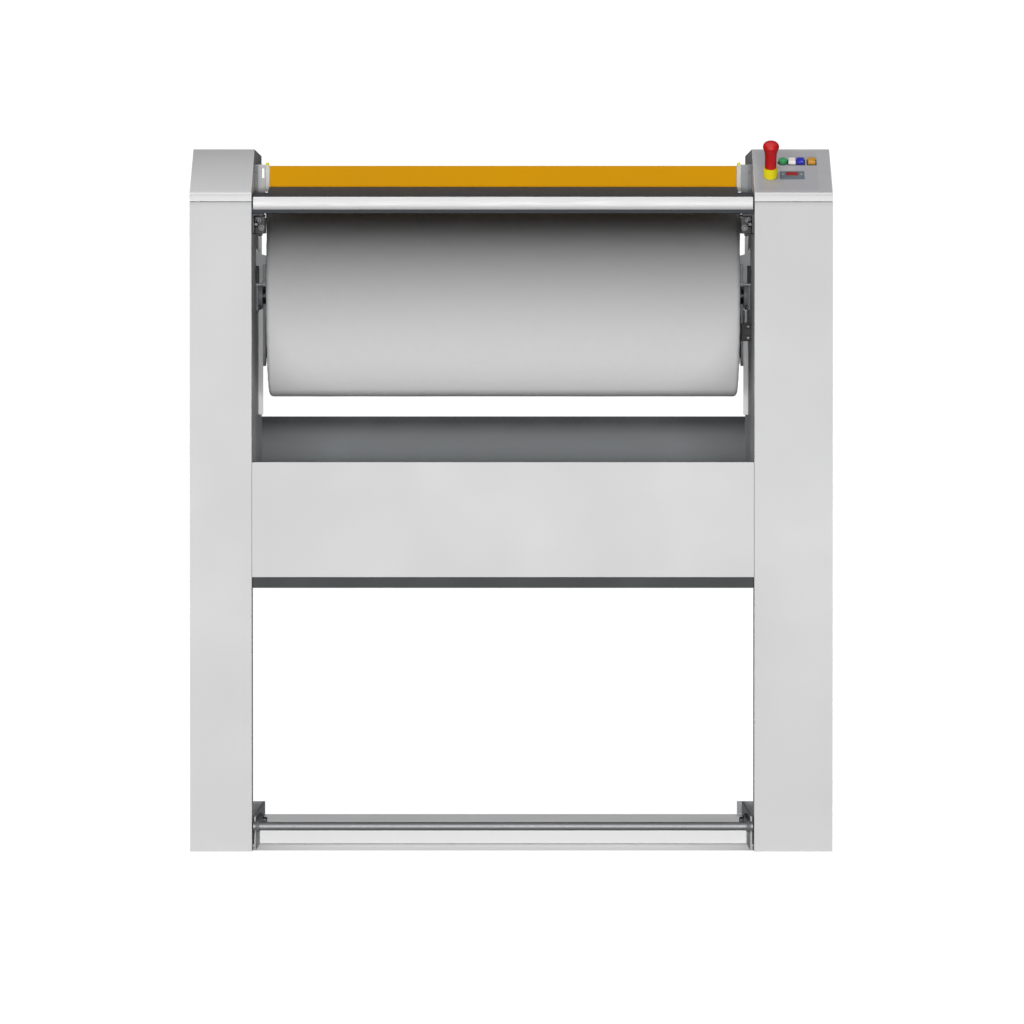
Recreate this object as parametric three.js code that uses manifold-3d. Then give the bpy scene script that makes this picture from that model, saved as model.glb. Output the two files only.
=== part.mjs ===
// A roller ironer for flatwork, on two sheet-metal columns: a padded roll turns in front of a heated
// chest that a foot bar closes, under a feed table with a finger guard and over a linen tray.
// Millimetres. X runs to the right, Y to the rear and Z up. The origin is on the floor, in the middle
// of the width and of the depth.
import * as THREE from 'three';
import { mergeVertices } from 'three/addons/utils/BufferGeometryUtils.js';
import Module from 'manifold-3d';

const wasm = await Module();
wasm.setup();

// ---------------------------------------------------------------- driving dimensions

// Overall
const WIDTH = 1080;
const DEPTH = 425;
const CAP_TOP = 1186;
const LEFT_COLUMN_WIDTH = 103.7;
const RIGHT_COLUMN_WIDTH = 131.4;

// Fits and sheet
const CLEAR = 0.3; // between faces that lie against each other
const RUNNING = 0.4; // round a shaft or a pin that turns
const COVER_SHEET = 2;
const FRAME_PLATE = 4;

// Columns
const FLOOR_GAP = 1; // under the covers
const SEAM_HEIGHT = 1093;
const SEAM_GAP = 0.8;
const CAP_BEND_HEIGHT = 1107.6;
const CAP_BEND_RADIUS = 9;
const CAP_SLOPE_DEPTH = 130;
const COVER_RETURN = 50;
const INNER_COVER_BOTTOM = 444;
const FRAME_INSET = 21.7; // from the column's inner face to the side frame
const FRAME_FLANGE = 30;

// Base
const SHOE_HEIGHT = 58.5;
const SHOE_SHEET = 3;
const SHOE_OVERHANG = 5.7; // how far the shoe's wall stands into the opening
const SHOE_FRONT_SETBACK = 22;
const SHOE_TAB_REACH = 14; // right-hand tab, into the opening
const PAN_TOP = 36;
const PAN_FRONT_SETBACK = 178;
const PAN_BOTTOM = 1.5;
const TIE_BAR_SIZE = 25;
const TIE_BAR_WALL = 2.5;
const TIE_BAR_SETBACK = 300;
const LEVEL_PAD_RADIUS = 18;
const LEVEL_PAD_HEIGHT = 8;
const LEVEL_PAD_RIM = 4.8; // height of the pad's upright side
const LEVEL_NECK_RADIUS = 8.5;
const LEVEL_STEM_RADIUS = 5;
const LEVEL_STEM_LENGTH = 32;
const LEVEL_FOOT_INSET = 45; // from the front and rear planes
const LEVEL_FOOT_FROM_SIDE = { left: 26, right: 40 }; // from the column's outer side

// Linen tray
const TRAY_PANEL_BOTTOM = 462.5;
const TRAY_PANEL_TOP = 655.7;
const TRAY_PANEL_SETBACK = 0.5;
const TRAY_PANEL_FLANGE = 9;
const TRAY_FLOOR = 444;
const TRAY_REAR_TOP = 731.5;
const TRAY_LIP_SETBACK = 12;
const TRAY_LIP_HEIGHT = 60;

// Roll, from the inside out
const ROLL_SETBACK = 202.5; // axis behind the front plane
const ROLL_HEIGHT = 939; // axis above the floor
const ROLL_RADIUS = 173;
const ROLL_END_GAP = 22.7;
const ROLL_EDGE_RADIUS = 7;
const CLOTH = 1.6;
const CLOTH_TURN_IN = 30;
const PADDING = 11;
const DRUM_WALL = 4;
const DRUM_END_INSET = 12;
const DRUM_END_PLATE = 6;
const DRUM_HOLE_RADIUS = 20;
const DRUM_HOLES = 5;
const SHAFT_RADIUS = 15;

// Bearings
const BEARING_FLANGE = 100;
const BEARING_FLANGE_THICKNESS = 7;
const BEARING_BOSS_RADIUS = 22;
const BEARING_PLATE_HEIGHT = 52;
const BEARING_PLATE_WIDTH = 50;
const BEARING_PLATE = 4;

// Heated chest, measured round the roll's axis with the chest closed
const NIP = 1;
const CHEST_LOW_ANGLE = -35;
const CHEST_HIGH_ANGLE = 60;
const CHEST_PLATE = 8;
const CHEST_JACKET_GAP = 18;
const JACKET_SHEET = 1.5;
const HEATER_RADIUS = 4;
const HEATER_ANGLES = { heater_element_lower: -8, heater_element_upper: 34 };
const CHEST_OPEN_ANGLE = 3;
const CHEST_PIVOT_BEHIND = 130; // behind the roll's axis
const CHEST_PIVOT_BELOW = 94; // below the roll's axis
const CHEST_PIN_RADIUS = 10;
const CHEST_PIN_COVER_GAP = 2; // round the pin in the inner cover
const CHEST_ARM_PLATE = 6;
const CHEST_ARM_OFFSET = 5.3; // from the column's inner face into the opening
const CHEST_ARM_RISE = 166; // above the pivot
const CHEST_ARM_EYE = 26;
const CHEST_LEVER = 150;
const CHEST_LEVER_EYE = 16.5;
const CHEST_LEVER_TIP = 11;

// Foot bar and linkage
const BAR_RADIUS = 7.15;
const BAR_SETBACK = 10.5;
const BAR_HEIGHT = 42.8;
const BAR_END_GAP = 1.3;
const PEDAL_REACH = 147; // from the bar back to the pivot
const PEDAL_ARM_OFFSET = 6.3;
const PEDAL_ARM_PLATE = 6;
const PEDAL_EYE_RADIUS = 12;
const PEDAL_TIP_RADIUS = 10;
const PEDAL_PIN_RADIUS = 7;
const PEDAL_CRANK = 50;
const LINK_PLATE = 5;
const LINK_INSET = 10.2; // from the column's inner face to the cranks and levers
const PIN_PROUD = 2; // of the side frame that a pivot pin goes through
const ROD_EYE = 9;

// Feed table and its edge
const EDGE_BOTTOM = 1080;
const EDGE_TOP = 1101.3;
const EDGE_BULGE = 3;
const EDGE_THICKNESS = 3;
const EDGE_SETBACK = 0.8;
const EDGE_END_GAP = 2.8; // to each column
const TABLE_SHEET = 3;
const TABLE_BOTTOM = 1074;
const TABLE_RETURN = 34;
const TABLE_REAR_SETBACK = 115.5;
const TABLE_REAR_HEIGHT = 1121.7;
const TABLE_HEM = 8;
const TABLE_NOTCH_SETBACK = 55;
const BRACKET_HEIGHT = 33;
const BRACKET_REACH = 20;
const BRACKET_SETBACK = 10;
const BRACKET_DEPTH = 80;
const BRACKET_SHEET = 4;

// Finger guard
const GUARD_SETBACK = 129.5;
const GUARD_BOTTOM = 1109;
const GUARD_TOP = 1158;
const GUARD_SHEET = 2.5;
const GUARD_HEM = 8;
const POST_GAP = 18.7; // from the column to the guard's end post
const POST_WIDTH = 6.8;
const POST_BOTTOM = 1114;
const POST_TOP = 1159;
const POST_DEPTH = 8;
const GUARD_PIVOT_HEIGHT = 1150;
const GUARD_PIN_RADIUS = 3;
const GUARD_PIN_LENGTH = 5;
const GUARD_BRACKET_BOTTOM = 1096;
const GUARD_BRACKET_TOP = 1160;
const GUARD_WINDOW_OFFSET = 14.6; // from the column's inner face to its middle
const GUARD_WINDOW_WIDTH = 4.4;
const GUARD_WINDOW_BOTTOM = 1137;
const GUARD_WINDOW_HEIGHT = 17;

// Drive, in the right-hand column
const PULLEY_OFFSET = 34; // from the column's inner face
const PULLEY_WIDTH = 20;
const PULLEY_LIP = 2;
const PULLEY_LIP_RISE = 4;
const ROLL_PULLEY_RADIUS = 60;
const MOTOR_PULLEY_RADIUS = 25;
const PULLEY_DISTANCE = 280;
const BELT_THICKNESS = 4;
const MOTOR_SHAFT_RADIUS = 8;
const MOTOR_SHAFT_DEPTH = 15; // into the motor's face
const MOTOR_RADIUS = 45;
const MOTOR_SADDLE = 36; // half the width of its pedestal
const MOTOR_LENGTH = 50;
const MOTOR_FOOT_DROP = 70; // from the motor's axis to the underside of its foot
const MOTOR_FOOT_PLATE = 8;
const MOTOR_FOOT_DEPTH = 90;
const MOTOR_FOOT_UPSTAND = 24; // its edge against the side frame

// Controls on the right-hand cap: X from the column's inner face, UP along the slope from its bend
const E_STOP = { x: 28, up: 54.8 };
const E_STOP_COLLAR_RADIUS = 11;
const E_STOP_COLLAR_HEIGHT = 19;
const E_STOP_BORE_FLOOR = 6;
const E_STOP_STEM_RADIUS = 9.8;
const E_STOP_STEM_FOOT = 13;
const E_STOP_TAPER_START = 33;
const E_STOP_TAPER_END = 51;
const E_STOP_HEAD_RADIUS = 13.7;
const E_STOP_HEAD_TOP = 63;
const E_STOP_HEAD_ROUND = 4;
const E_STOP_SHANK_RADIUS = 8;
const E_STOP_SHANK_DEPTH = 25;
const BUTTON_ROW_UP = 104.3;
const BUTTON_HEIGHT = 6.2;
const BUTTON_DEPTH = 12; // below the panel
const BUTTON_LENGTH = 14.5; // along the slope
const BUTTONS = [
  { name: 'button_green', x: 51.1, width: 14.4, round: true, color: 0x3ca05a },
  { name: 'button_white', x: 66.4, width: 12.4, round: false, color: 0xdcd7d7 },
  { name: 'button_blue', x: 80.6, width: 13, round: false, color: 0x1923af },
  { name: 'button_amber', x: 99.5, width: 13.2, round: false, color: 0xc89628 },
];
const BUTTON_CLEAR = 0.4;
const DISPLAY = { x: 65, up: 60.3, width: 40.4, length: 20.2, height: 2.5, depth: 14 };
const CONTROL_HOLE_REACH = 8; // of the hole cutters, off the slope on each side
const DISPLAY_NECK = 1.5; // how much smaller the part below the panel is, on each side

// Electrics
const LIMIT_SWITCH_BOTTOM = 861;
const LIMIT_SWITCH_HEIGHT = 29;
const LIMIT_SWITCH_REACH = 17;
const LIMIT_SWITCH_SETBACK = 150;
const LIMIT_SWITCH_DEPTH = 36;
const BOX_HEIGHT = 240;
const BOX_BOTTOM = 560;
const BOX_DEPTH = 200;
const BOX_COVER_GAP = 12;
const BOX_WALL = 2.5;
const GLAND_RADIUS = 11;
const GLAND_NUT_RADIUS = 14;
const GLAND_LENGTH = 26;
const GLAND_NUT_LENGTH = 9;
const GLAND_BORE = 5;

// Facets round a full turn
const ROUND_LARGE = 48;
const ROUND_MEDIUM = 24;
const ROUND_SMALL = 16;
const ARC_STEPS = 4; // in a small eye or bend
const LONG_ARC_STEPS = 12; // in the chest and the belt

// ---------------------------------------------------------------- places worked out from them

const FRONT = -DEPTH / 2;
const REAR = DEPTH / 2;
const LEFT_EDGE = -WIDTH / 2 + LEFT_COLUMN_WIDTH;
const RIGHT_EDGE = WIDTH / 2 - RIGHT_COLUMN_WIDTH;
const COLUMNS = [
  { side: 'left', edge: LEFT_EDGE, out: -1, width: LEFT_COLUMN_WIDTH },
  { side: 'right', edge: RIGHT_EDGE, out: 1, width: RIGHT_COLUMN_WIDTH },
];
const [LEFT, RIGHT] = COLUMNS;
const ROLL_Y = FRONT + ROLL_SETBACK;
const PIVOT_Y = ROLL_Y + CHEST_PIVOT_BEHIND;
const PIVOT_Z = ROLL_HEIGHT - CHEST_PIVOT_BELOW;
const BAR_Y = FRONT + BAR_SETBACK;
const PEDAL_Y = BAR_Y + PEDAL_REACH;
const GUARD_Y = FRONT + GUARD_SETBACK;
const SHOE_FLOOR = LEVEL_PAD_HEIGHT + CLEAR;
const CAP_BOTTOM = SEAM_HEIGHT + SEAM_GAP / 2;
const COVER_TOP = SEAM_HEIGHT - SEAM_GAP / 2;
const SLOPE = Math.atan((CAP_TOP - CAP_BEND_HEIGHT) / CAP_SLOPE_DEPTH);
const LINING = COVER_SHEET + CLEAR; // from an outer plane to what lies against its cover
const CRANK_INSET = LINK_INSET + LINK_PLATE + CLEAR; // from the inner face to the rods
const radians = THREE.MathUtils.degToRad;

// ---------------------------------------------------------------- materials

function paint(color, roughness = 0.5, metalness = 0.1) {
  return new THREE.MeshStandardMaterial({ color, roughness, metalness });
}

const greyPaint = paint(0xc9cacb, 0.45, 0.1);
const darkSteel = paint(0x4a4c4e, 0.5, 0.6);
const zincSteel = paint(0xa5a8aa, 0.4, 0.8);
const brightSteel = paint(0xd8dadb, 0.2, 1);
const darkTable = paint(0x464646, 0.5, 0.5);
const clothGrey = paint(0xc8c8c8, 0.95, 0);
const feltWhite = paint(0xe2dfd6, 1, 0);
const guardYellow = paint(0xcd9408, 0.5, 0);
const postWhite = paint(0xdcdcd4, 0.5, 0);
const castIron = paint(0x6b6d6f, 0.6, 0.5);
const blackRubber = paint(0x1c1c1c, 0.9, 0);
const blackPlastic = paint(0x2a2a2b, 0.6, 0);
const motorBlue = paint(0x5f6a73, 0.5, 0.3);
const stopRed = paint(0xb01410, 0.35, 0);
const stopYellow = paint(0xd7cd00, 0.45, 0);
const displayGrey = paint(0x5f6973, 0.5, 0);

// ---------------------------------------------------------------- shapes

/** A box between two X, two Y and two Z values, in any order. */
function box(x0, x1, y0, y1, z0, z1) {
  const shape = new THREE.BoxGeometry(Math.abs(x1 - x0), Math.abs(y1 - y0), Math.abs(z1 - z0));
  return shape.translate((x0 + x1) / 2, (y0 + y1) / 2, (z0 + z1) / 2);
}

/** The X that lies a distance outward of a column's inner face; a negative distance is in the opening. */
function outward(column, distance) {
  return column.edge + column.out * distance;
}

/** A box in a column, its X given as two distances outward of the inner face. */
function slab(column, u0, u1, y0, y1, z0, z1) {
  return box(outward(column, u0), outward(column, u1), y0, y1, z0, z1);
}

/** A cylinder along X. */
function rodX(x0, x1, y, z, radius, facets = ROUND_MEDIUM) {
  const shape = new THREE.CylinderGeometry(radius, radius, Math.abs(x1 - x0), facets);
  return shape.rotateZ(Math.PI / 2).translate((x0 + x1) / 2, y, z);
}

/** A cylinder along Z. */
function rodZ(x, y, z0, z1, radius, facets = ROUND_SMALL) {
  const shape = new THREE.CylinderGeometry(radius, radius, z1 - z0, facets);
  return shape.rotateX(Math.PI / 2).translate(x, y, (z0 + z1) / 2);
}

/** An outline drawn in Y and Z, drawn out along X. */
function alongX(outline, x0, x1, curveSegments = ARC_STEPS) {
  const depth = Math.abs(x1 - x0);
  const shape = new THREE.ExtrudeGeometry(outline, { depth, bevelEnabled: false, curveSegments });
  const turn = new THREE.Matrix4().set(0, 0, 1, 0, 1, 0, 0, 0, 0, 1, 0, 0, 0, 0, 0, 1);
  return shape.applyMatrix4(turn).translate(Math.min(x0, x1), 0, 0);
}

/** A closed profile of [radius, x] points turned round an axis along X through y and z. */
function turnedX(profile, y, z, facets = ROUND_LARGE) {
  const points = profile.map(([radius, x]) => new THREE.Vector2(radius, x));
  if (THREE.ShapeUtils.area(points) < 0) points.reverse();
  points.push(points[0].clone());
  const shape = new THREE.LatheGeometry(points, facets);
  return shape.rotateZ(-Math.PI / 2).translate(0, y, z);
}

/** A profile of [radius, height] points that starts and ends on the axis, turned round Z. */
function turnedZ(profile, x, y, facets = ROUND_MEDIUM) {
  const points = profile.map(([radius, height]) => new THREE.Vector2(radius, height));
  return new THREE.LatheGeometry(points, facets).rotateX(Math.PI / 2).translate(x, y, 0);
}

/** The outline of a sheet folded along a path of [y, z] points; its thickness goes to the path's left. */
function foldedSheet(path, thickness) {
  const line = path.map(([y, z]) => new THREE.Vector2(y, z));
  const normals = line.slice(1).map((point, i) => {
    const along = point.clone().sub(line[i]).normalize();
    return new THREE.Vector2(-along.y, along.x);
  });
  const other = line.map((point, i) => {
    const before = normals[Math.max(i - 1, 0)];
    const after = normals[Math.min(i, normals.length - 1)];
    const mitre = before.clone().add(after).normalize();
    return point.clone().addScaledVector(mitre, thickness / mitre.dot(after));
  });
  return new THREE.Shape([...line, ...other.reverse()]);
}

/** A link's outline: two round eyes of different radius joined by their outer tangents. */
function linkOutline([y0, z0, radius0], [y1, z1, radius1]) {
  const heading = Math.atan2(z1 - z0, y1 - y0);
  const lean = Math.acos((radius0 - radius1) / Math.hypot(y1 - y0, z1 - z0));
  const shape = new THREE.Shape();
  shape.absarc(y0, z0, radius0, heading + lean, heading - lean + 2 * Math.PI, false);
  shape.absarc(y1, z1, radius1, heading - lean, heading + lean, false);
  shape.closePath();
  return shape;
}

/** A three.js geometry as a solid that can be joined and cut. */
function solid(geometry) {
  const bare = geometry.index ? geometry.toNonIndexed() : geometry.clone();
  bare.deleteAttribute('normal');
  bare.deleteAttribute('uv');
  const merged = mergeVertices(bare, 1e-4);
  const mesh = new wasm.Mesh({
    numProp: 3,
    vertProperties: new Float32Array(merged.attributes.position.array),
    triVerts: new Uint32Array(merged.index.array),
  });
  return new wasm.Manifold(mesh);
}

function asGeometry(body) {
  const mesh = body.getMesh();
  const geometry = new THREE.BufferGeometry();
  geometry.setAttribute('position', new THREE.BufferAttribute(mesh.vertProperties, 3));
  geometry.setIndex(new THREE.BufferAttribute(mesh.triVerts, 1));
  geometry.computeVertexNormals();
  return geometry;
}

function join(...geometries) {
  return asGeometry(geometries.map(solid).reduce((sum, next) => sum.add(next)));
}

function cut(geometry, ...tools) {
  return asGeometry(tools.map(solid).reduce((rest, tool) => rest.subtract(tool), solid(geometry)));
}

const ironer = new THREE.Group();

/** Adds one named piece, to the whole or to a turned group of it. */
function add(name, geometry, material, parent = ironer) {
  const mesh = new THREE.Mesh(geometry, material);
  mesh.name = name;
  parent.add(mesh);
}

// ---------------------------------------------------------------- columns

/** The C-shaped plate that carries the bearings, the chest's pivot and the pedal's pivot. */
function sideFrame(column) {
  const web = FRAME_INSET + FRAME_PLATE;
  const bottom = SHOE_FLOOR + SHOE_SHEET + CLEAR;
  const top = COVER_TOP - FRAME_PLATE;
  const front = FRONT + LINING;
  const rear = REAR - LINING;
  const flangeEnd = FRAME_INSET + FRAME_FLANGE;
  const plate = join(
    slab(column, FRAME_INSET, web, front, rear, bottom, top),
    slab(column, FRAME_INSET, flangeEnd, front, front + FRAME_PLATE, bottom, top),
    slab(column, FRAME_INSET, flangeEnd, rear - FRAME_PLATE, rear, bottom, top),
  );
  const from = outward(column, FRAME_INSET - 1);
  const to = outward(column, web + 1);
  return cut(
    plate,
    rodX(from, to, ROLL_Y, ROLL_HEIGHT, SHAFT_RADIUS + 2 * RUNNING),
    rodX(from, to, PIVOT_Y, PIVOT_Z, CHEST_PIN_RADIUS + RUNNING),
    rodX(from, to, PEDAL_Y, BAR_HEIGHT, PEDAL_PIN_RADIUS + RUNNING),
  );
}

function frontCover(column) {
  return join(
    slab(column, 0, column.width, FRONT, FRONT + COVER_SHEET, FLOOR_GAP, COVER_TOP),
    slab(column, 0, COVER_SHEET, FRONT, FRONT + COVER_RETURN, FLOOR_GAP, COVER_TOP),
  );
}

/** The outer side and the rear in one folded sheet; the rear stops short where the inner side is open. */
function outerCover(column) {
  const wrap = join(
    slab(column, column.width - COVER_SHEET, column.width, FRONT + LINING, REAR, FLOOR_GAP, COVER_TOP),
    slab(column, LINING, column.width, REAR - COVER_SHEET, REAR, FLOOR_GAP, COVER_TOP),
  );
  const below = slab(column, 0, FRAME_INSET, REAR - COVER_SHEET - 1, REAR + 1, 0, INNER_COVER_BOTTOM);
  return cut(wrap, below);
}

function innerCover(column) {
  const start = FRONT + COVER_RETURN + CLEAR;
  const from = outward(column, -1);
  const to = outward(column, COVER_SHEET + 1);
  return cut(
    slab(column, 0, COVER_SHEET, start, REAR, INNER_COVER_BOTTOM, COVER_TOP),
    rodX(from, to, ROLL_Y, ROLL_HEIGHT, BEARING_BOSS_RADIUS + CLEAR),
    rodX(from, to, PIVOT_Y, PIVOT_Z, CHEST_PIN_RADIUS + CHEST_PIN_COVER_GAP),
  );
}

/** The cap's side outline, drawn in by an inset from its outer faces and open below its bottom. */
function capOutline(inset, bottom) {
  const bendZ = (depth) => CAP_BEND_HEIGHT - depth / Math.cos(SLOPE) + depth * Math.tan(SLOPE);
  const topY = FRONT + inset + (CAP_TOP - inset - bendZ(inset)) / Math.tan(SLOPE);
  const shape = new THREE.Shape();
  shape.moveTo(REAR - inset, bottom);
  shape.lineTo(FRONT + inset, bottom);
  shape.absarc(
    FRONT + CAP_BEND_RADIUS,
    bendZ(CAP_BEND_RADIUS),
    CAP_BEND_RADIUS - inset,
    Math.PI,
    Math.PI / 2 + SLOPE,
    true,
  );
  shape.lineTo(topY, CAP_TOP - inset);
  shape.lineTo(REAR - inset, CAP_TOP - inset);
  return shape;
}

/** Moves a shape made on the slope (X from the inner face, Y up the slope, Z off it) to its place. */
function ontoSlope(geometry) {
  return geometry.rotateX(SLOPE).translate(RIGHT_EDGE, FRONT, CAP_BEND_HEIGHT);
}

/** The holes in the right-hand cap that the controls stand in. */
function controlHoles() {
  const reach = CONTROL_HOLE_REACH;
  const { x, up, width, length } = DISPLAY;
  const halfWidth = width / 2 - DISPLAY_NECK + CLEAR;
  const halfLength = length / 2 - DISPLAY_NECK + CLEAR;
  const display = box(x - halfWidth, x + halfWidth, up - halfLength, up + halfLength, -reach, reach);
  const stop = rodZ(E_STOP.x, E_STOP.up, -reach, reach, E_STOP_SHANK_RADIUS + CLEAR);
  const buttons = BUTTONS.map((button) => buttonShape(button, -reach, reach, BUTTON_CLEAR));
  return [display, stop, ...buttons].map(ontoSlope);
}

function topCap(column) {
  const outside = alongX(capOutline(0, CAP_BOTTOM), column.edge, outward(column, column.width));
  const from = outward(column, COVER_SHEET);
  const to = outward(column, column.width - COVER_SHEET);
  const inside = alongX(capOutline(COVER_SHEET, CAP_BOTTOM - 1), from, to);
  const holes = column === RIGHT ? controlHoles() : [];
  return cut(outside, inside, ...holes);
}

/** The folded shoe under a column, with its wall in the opening and a tab at its rear end. */
function footShoe(column) {
  const wall = -SHOE_OVERHANG;
  const wallTo = wall + SHOE_SHEET;
  const front = FRONT + SHOE_FRONT_SETBACK;
  const rear = REAR - LINING - FRAME_PLATE - CLEAR;
  const end = column.width - LINING;
  const tabFrom = column === RIGHT ? -SHOE_TAB_REACH : wall;
  const tabTo = FRAME_INSET - CLEAR;
  const shoe = join(
    slab(column, wall, end, front, rear, SHOE_FLOOR, SHOE_FLOOR + SHOE_SHEET),
    slab(column, wall, wallTo, front, rear, FLOOR_GAP, SHOE_HEIGHT),
    slab(column, wall, tabTo, rear - SHOE_SHEET, rear, SHOE_FLOOR, SHOE_HEIGHT),
    slab(column, tabFrom, tabTo, rear - SHOE_SHEET, rear, PAN_TOP + CLEAR, SHOE_HEIGHT),
  );
  const pin = rodX(
    outward(column, wall - 1),
    outward(column, wallTo + 1),
    PEDAL_Y,
    BAR_HEIGHT,
    PEDAL_PIN_RADIUS + RUNNING,
  );
  const returnSlot = slab(
    column,
    -CLEAR,
    COVER_SHEET + CLEAR,
    FRONT,
    FRONT + COVER_RETURN + CLEAR,
    0,
    SHOE_HEIGHT,
  );
  const stems = levelSpots(column).map(([x, y]) =>
    rodZ(x, y, 0, 2 * SHOE_FLOOR, LEVEL_STEM_RADIUS + CLEAR),
  );
  return cut(shoe, pin, returnSlot, ...stems);
}

/** Where a column's two levelling feet stand: front, then rear. */
function levelSpots(column) {
  const x = outward(column, column.width - LEVEL_FOOT_FROM_SIDE[column.side]);
  return [FRONT + LEVEL_FOOT_INSET, REAR - LEVEL_FOOT_INSET].map((y) => [x, y]);
}

function levellingFoot([x, y]) {
  const pad = LEVEL_PAD_HEIGHT;
  const profile = [
    [0, 0],
    [LEVEL_PAD_RADIUS, 0],
    [LEVEL_PAD_RADIUS, LEVEL_PAD_RIM],
    [LEVEL_NECK_RADIUS, pad],
    [LEVEL_STEM_RADIUS, pad],
    [LEVEL_STEM_RADIUS, pad + LEVEL_STEM_LENGTH],
    [0, pad + LEVEL_STEM_LENGTH],
  ];
  return turnedZ(profile, x, y, ROUND_SMALL);
}

function addColumn(column) {
  const { side } = column;
  add(`side_frame_${side}`, sideFrame(column), zincSteel);
  add(`front_cover_${side}`, frontCover(column), greyPaint);
  add(`outer_cover_${side}`, outerCover(column), greyPaint);
  add(`inner_cover_${side}`, innerCover(column), greyPaint);
  add(`top_cap_${side}`, topCap(column), greyPaint);
  add(`foot_shoe_${side}`, footShoe(column), darkSteel);
  levelSpots(column).forEach((spot, i) => {
    add(`levelling_foot_${side}_${i ? 'rear' : 'front'}`, levellingFoot(spot), blackRubber);
  });
}

// ---------------------------------------------------------------- what ties the columns together

/** The folded pan across the floor, open underneath. */
function basePan() {
  const front = FRONT + PAN_FRONT_SETBACK;
  const rear = REAR - LINING - FRAME_PLATE - SHOE_SHEET - 2 * CLEAR;
  const path = [
    [rear, PAN_BOTTOM],
    [rear, PAN_TOP],
    [front, PAN_TOP],
    [front, PAN_BOTTOM],
  ];
  const gap = SHOE_OVERHANG + CLEAR;
  return alongX(foldedSheet(path, COVER_SHEET), LEFT_EDGE + gap, RIGHT_EDGE - gap);
}

function baseTieBar() {
  const y = FRONT + TIE_BAR_SETBACK;
  const z = PAN_TOP - COVER_SHEET - CLEAR - TIE_BAR_SIZE;
  const gap = SHOE_OVERHANG + CLEAR;
  const bar = box(LEFT_EDGE + gap, RIGHT_EDGE - gap, y, y + TIE_BAR_SIZE, z, z + TIE_BAR_SIZE);
  const bore = box(
    LEFT_EDGE,
    RIGHT_EDGE,
    y + TIE_BAR_WALL,
    y + TIE_BAR_SIZE - TIE_BAR_WALL,
    z + TIE_BAR_WALL,
    z + TIE_BAR_SIZE - TIE_BAR_WALL,
  );
  return cut(bar, bore);
}

function trayFrontPanel() {
  const y = FRONT + TRAY_PANEL_SETBACK;
  const path = [
    [y + TRAY_PANEL_FLANGE, TRAY_PANEL_BOTTOM],
    [y, TRAY_PANEL_BOTTOM],
    [y, TRAY_PANEL_TOP],
    [y + 2 * TRAY_PANEL_FLANGE, TRAY_PANEL_TOP],
    [y + 2 * TRAY_PANEL_FLANGE, TRAY_PANEL_TOP - TRAY_PANEL_FLANGE],
  ];
  return alongX(foldedSheet(path, -COVER_SHEET), LEFT_EDGE + CLEAR, RIGHT_EDGE - CLEAR);
}

/** The pan that the ironed linen drops into: a low front wall, a floor and a high rear wall. */
function trayPan() {
  const front = FRONT + TRAY_LIP_SETBACK;
  const rear = REAR - LINING - FRAME_PLATE;
  const path = [
    [front, TRAY_FLOOR + TRAY_LIP_HEIGHT],
    [front, TRAY_FLOOR],
    [rear, TRAY_FLOOR],
    [rear, TRAY_REAR_TOP],
  ];
  return alongX(foldedSheet(path, COVER_SHEET), LEFT_EDGE + CLEAR, RIGHT_EDGE - CLEAR);
}

// ---------------------------------------------------------------- feed table and finger guard

/** The sheet that slopes up to the nip, folded down in front; its rear corners clear the guard. */
function feedTable() {
  const front = FRONT + EDGE_SETBACK + EDGE_BULGE + EDGE_THICKNESS + CLEAR;
  const rear = FRONT + TABLE_REAR_SETBACK;
  const path = [
    [front + TABLE_RETURN, TABLE_BOTTOM],
    [front, TABLE_BOTTOM],
    [front, EDGE_TOP],
    [rear, TABLE_REAR_HEIGHT],
    [rear, TABLE_REAR_HEIGHT - TABLE_HEM],
  ];
  const sheet = alongX(foldedSheet(path, -TABLE_SHEET), LEFT_EDGE + CLEAR, RIGHT_EDGE - CLEAR);
  const notches = COLUMNS.map((column) =>
    slab(
      column,
      1,
      -(POST_GAP + POST_WIDTH),
      FRONT + TABLE_NOTCH_SETBACK,
      rear + 1,
      TABLE_BOTTOM,
      CAP_TOP,
    ),
  );
  return cut(sheet, ...notches);
}

/** The bright strip along the table's front, slightly domed. */
function feedTableEdge() {
  const back = FRONT + EDGE_SETBACK + EDGE_BULGE + EDGE_THICKNESS;
  const chord = FRONT + EDGE_SETBACK + EDGE_BULGE;
  const half = (EDGE_TOP - EDGE_BOTTOM) / 2;
  const radius = (half * half + EDGE_BULGE * EDGE_BULGE) / (2 * EDGE_BULGE);
  const spread = Math.asin(half / radius);
  const shape = new THREE.Shape();
  shape.moveTo(back, EDGE_TOP);
  shape.absarc(
    chord - EDGE_BULGE + radius,
    EDGE_BOTTOM + half,
    radius,
    Math.PI - spread,
    Math.PI + spread,
    false,
  );
  shape.lineTo(back, EDGE_BOTTOM);
  return alongX(shape, LEFT_EDGE + EDGE_END_GAP, RIGHT_EDGE - EDGE_END_GAP);
}

/** The angle under one end of the table, screwed to the column's inner cover. */
function feedBracket(column) {
  const top = TABLE_BOTTOM - CLEAR;
  const front = FRONT + BRACKET_SETBACK;
  const wall = -CLEAR - BRACKET_SHEET;
  const reach = -CLEAR - BRACKET_REACH;
  const rib = front + BRACKET_DEPTH / 2;
  return join(
    slab(column, -CLEAR, wall, front, front + BRACKET_DEPTH, top - BRACKET_HEIGHT, top),
    slab(column, -CLEAR, reach, front, front + BRACKET_DEPTH, top - BRACKET_SHEET, top),
    slab(column, -CLEAR, reach, rib, rib + BRACKET_SHEET, top - BRACKET_HEIGHT, top),
  );
}

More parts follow.
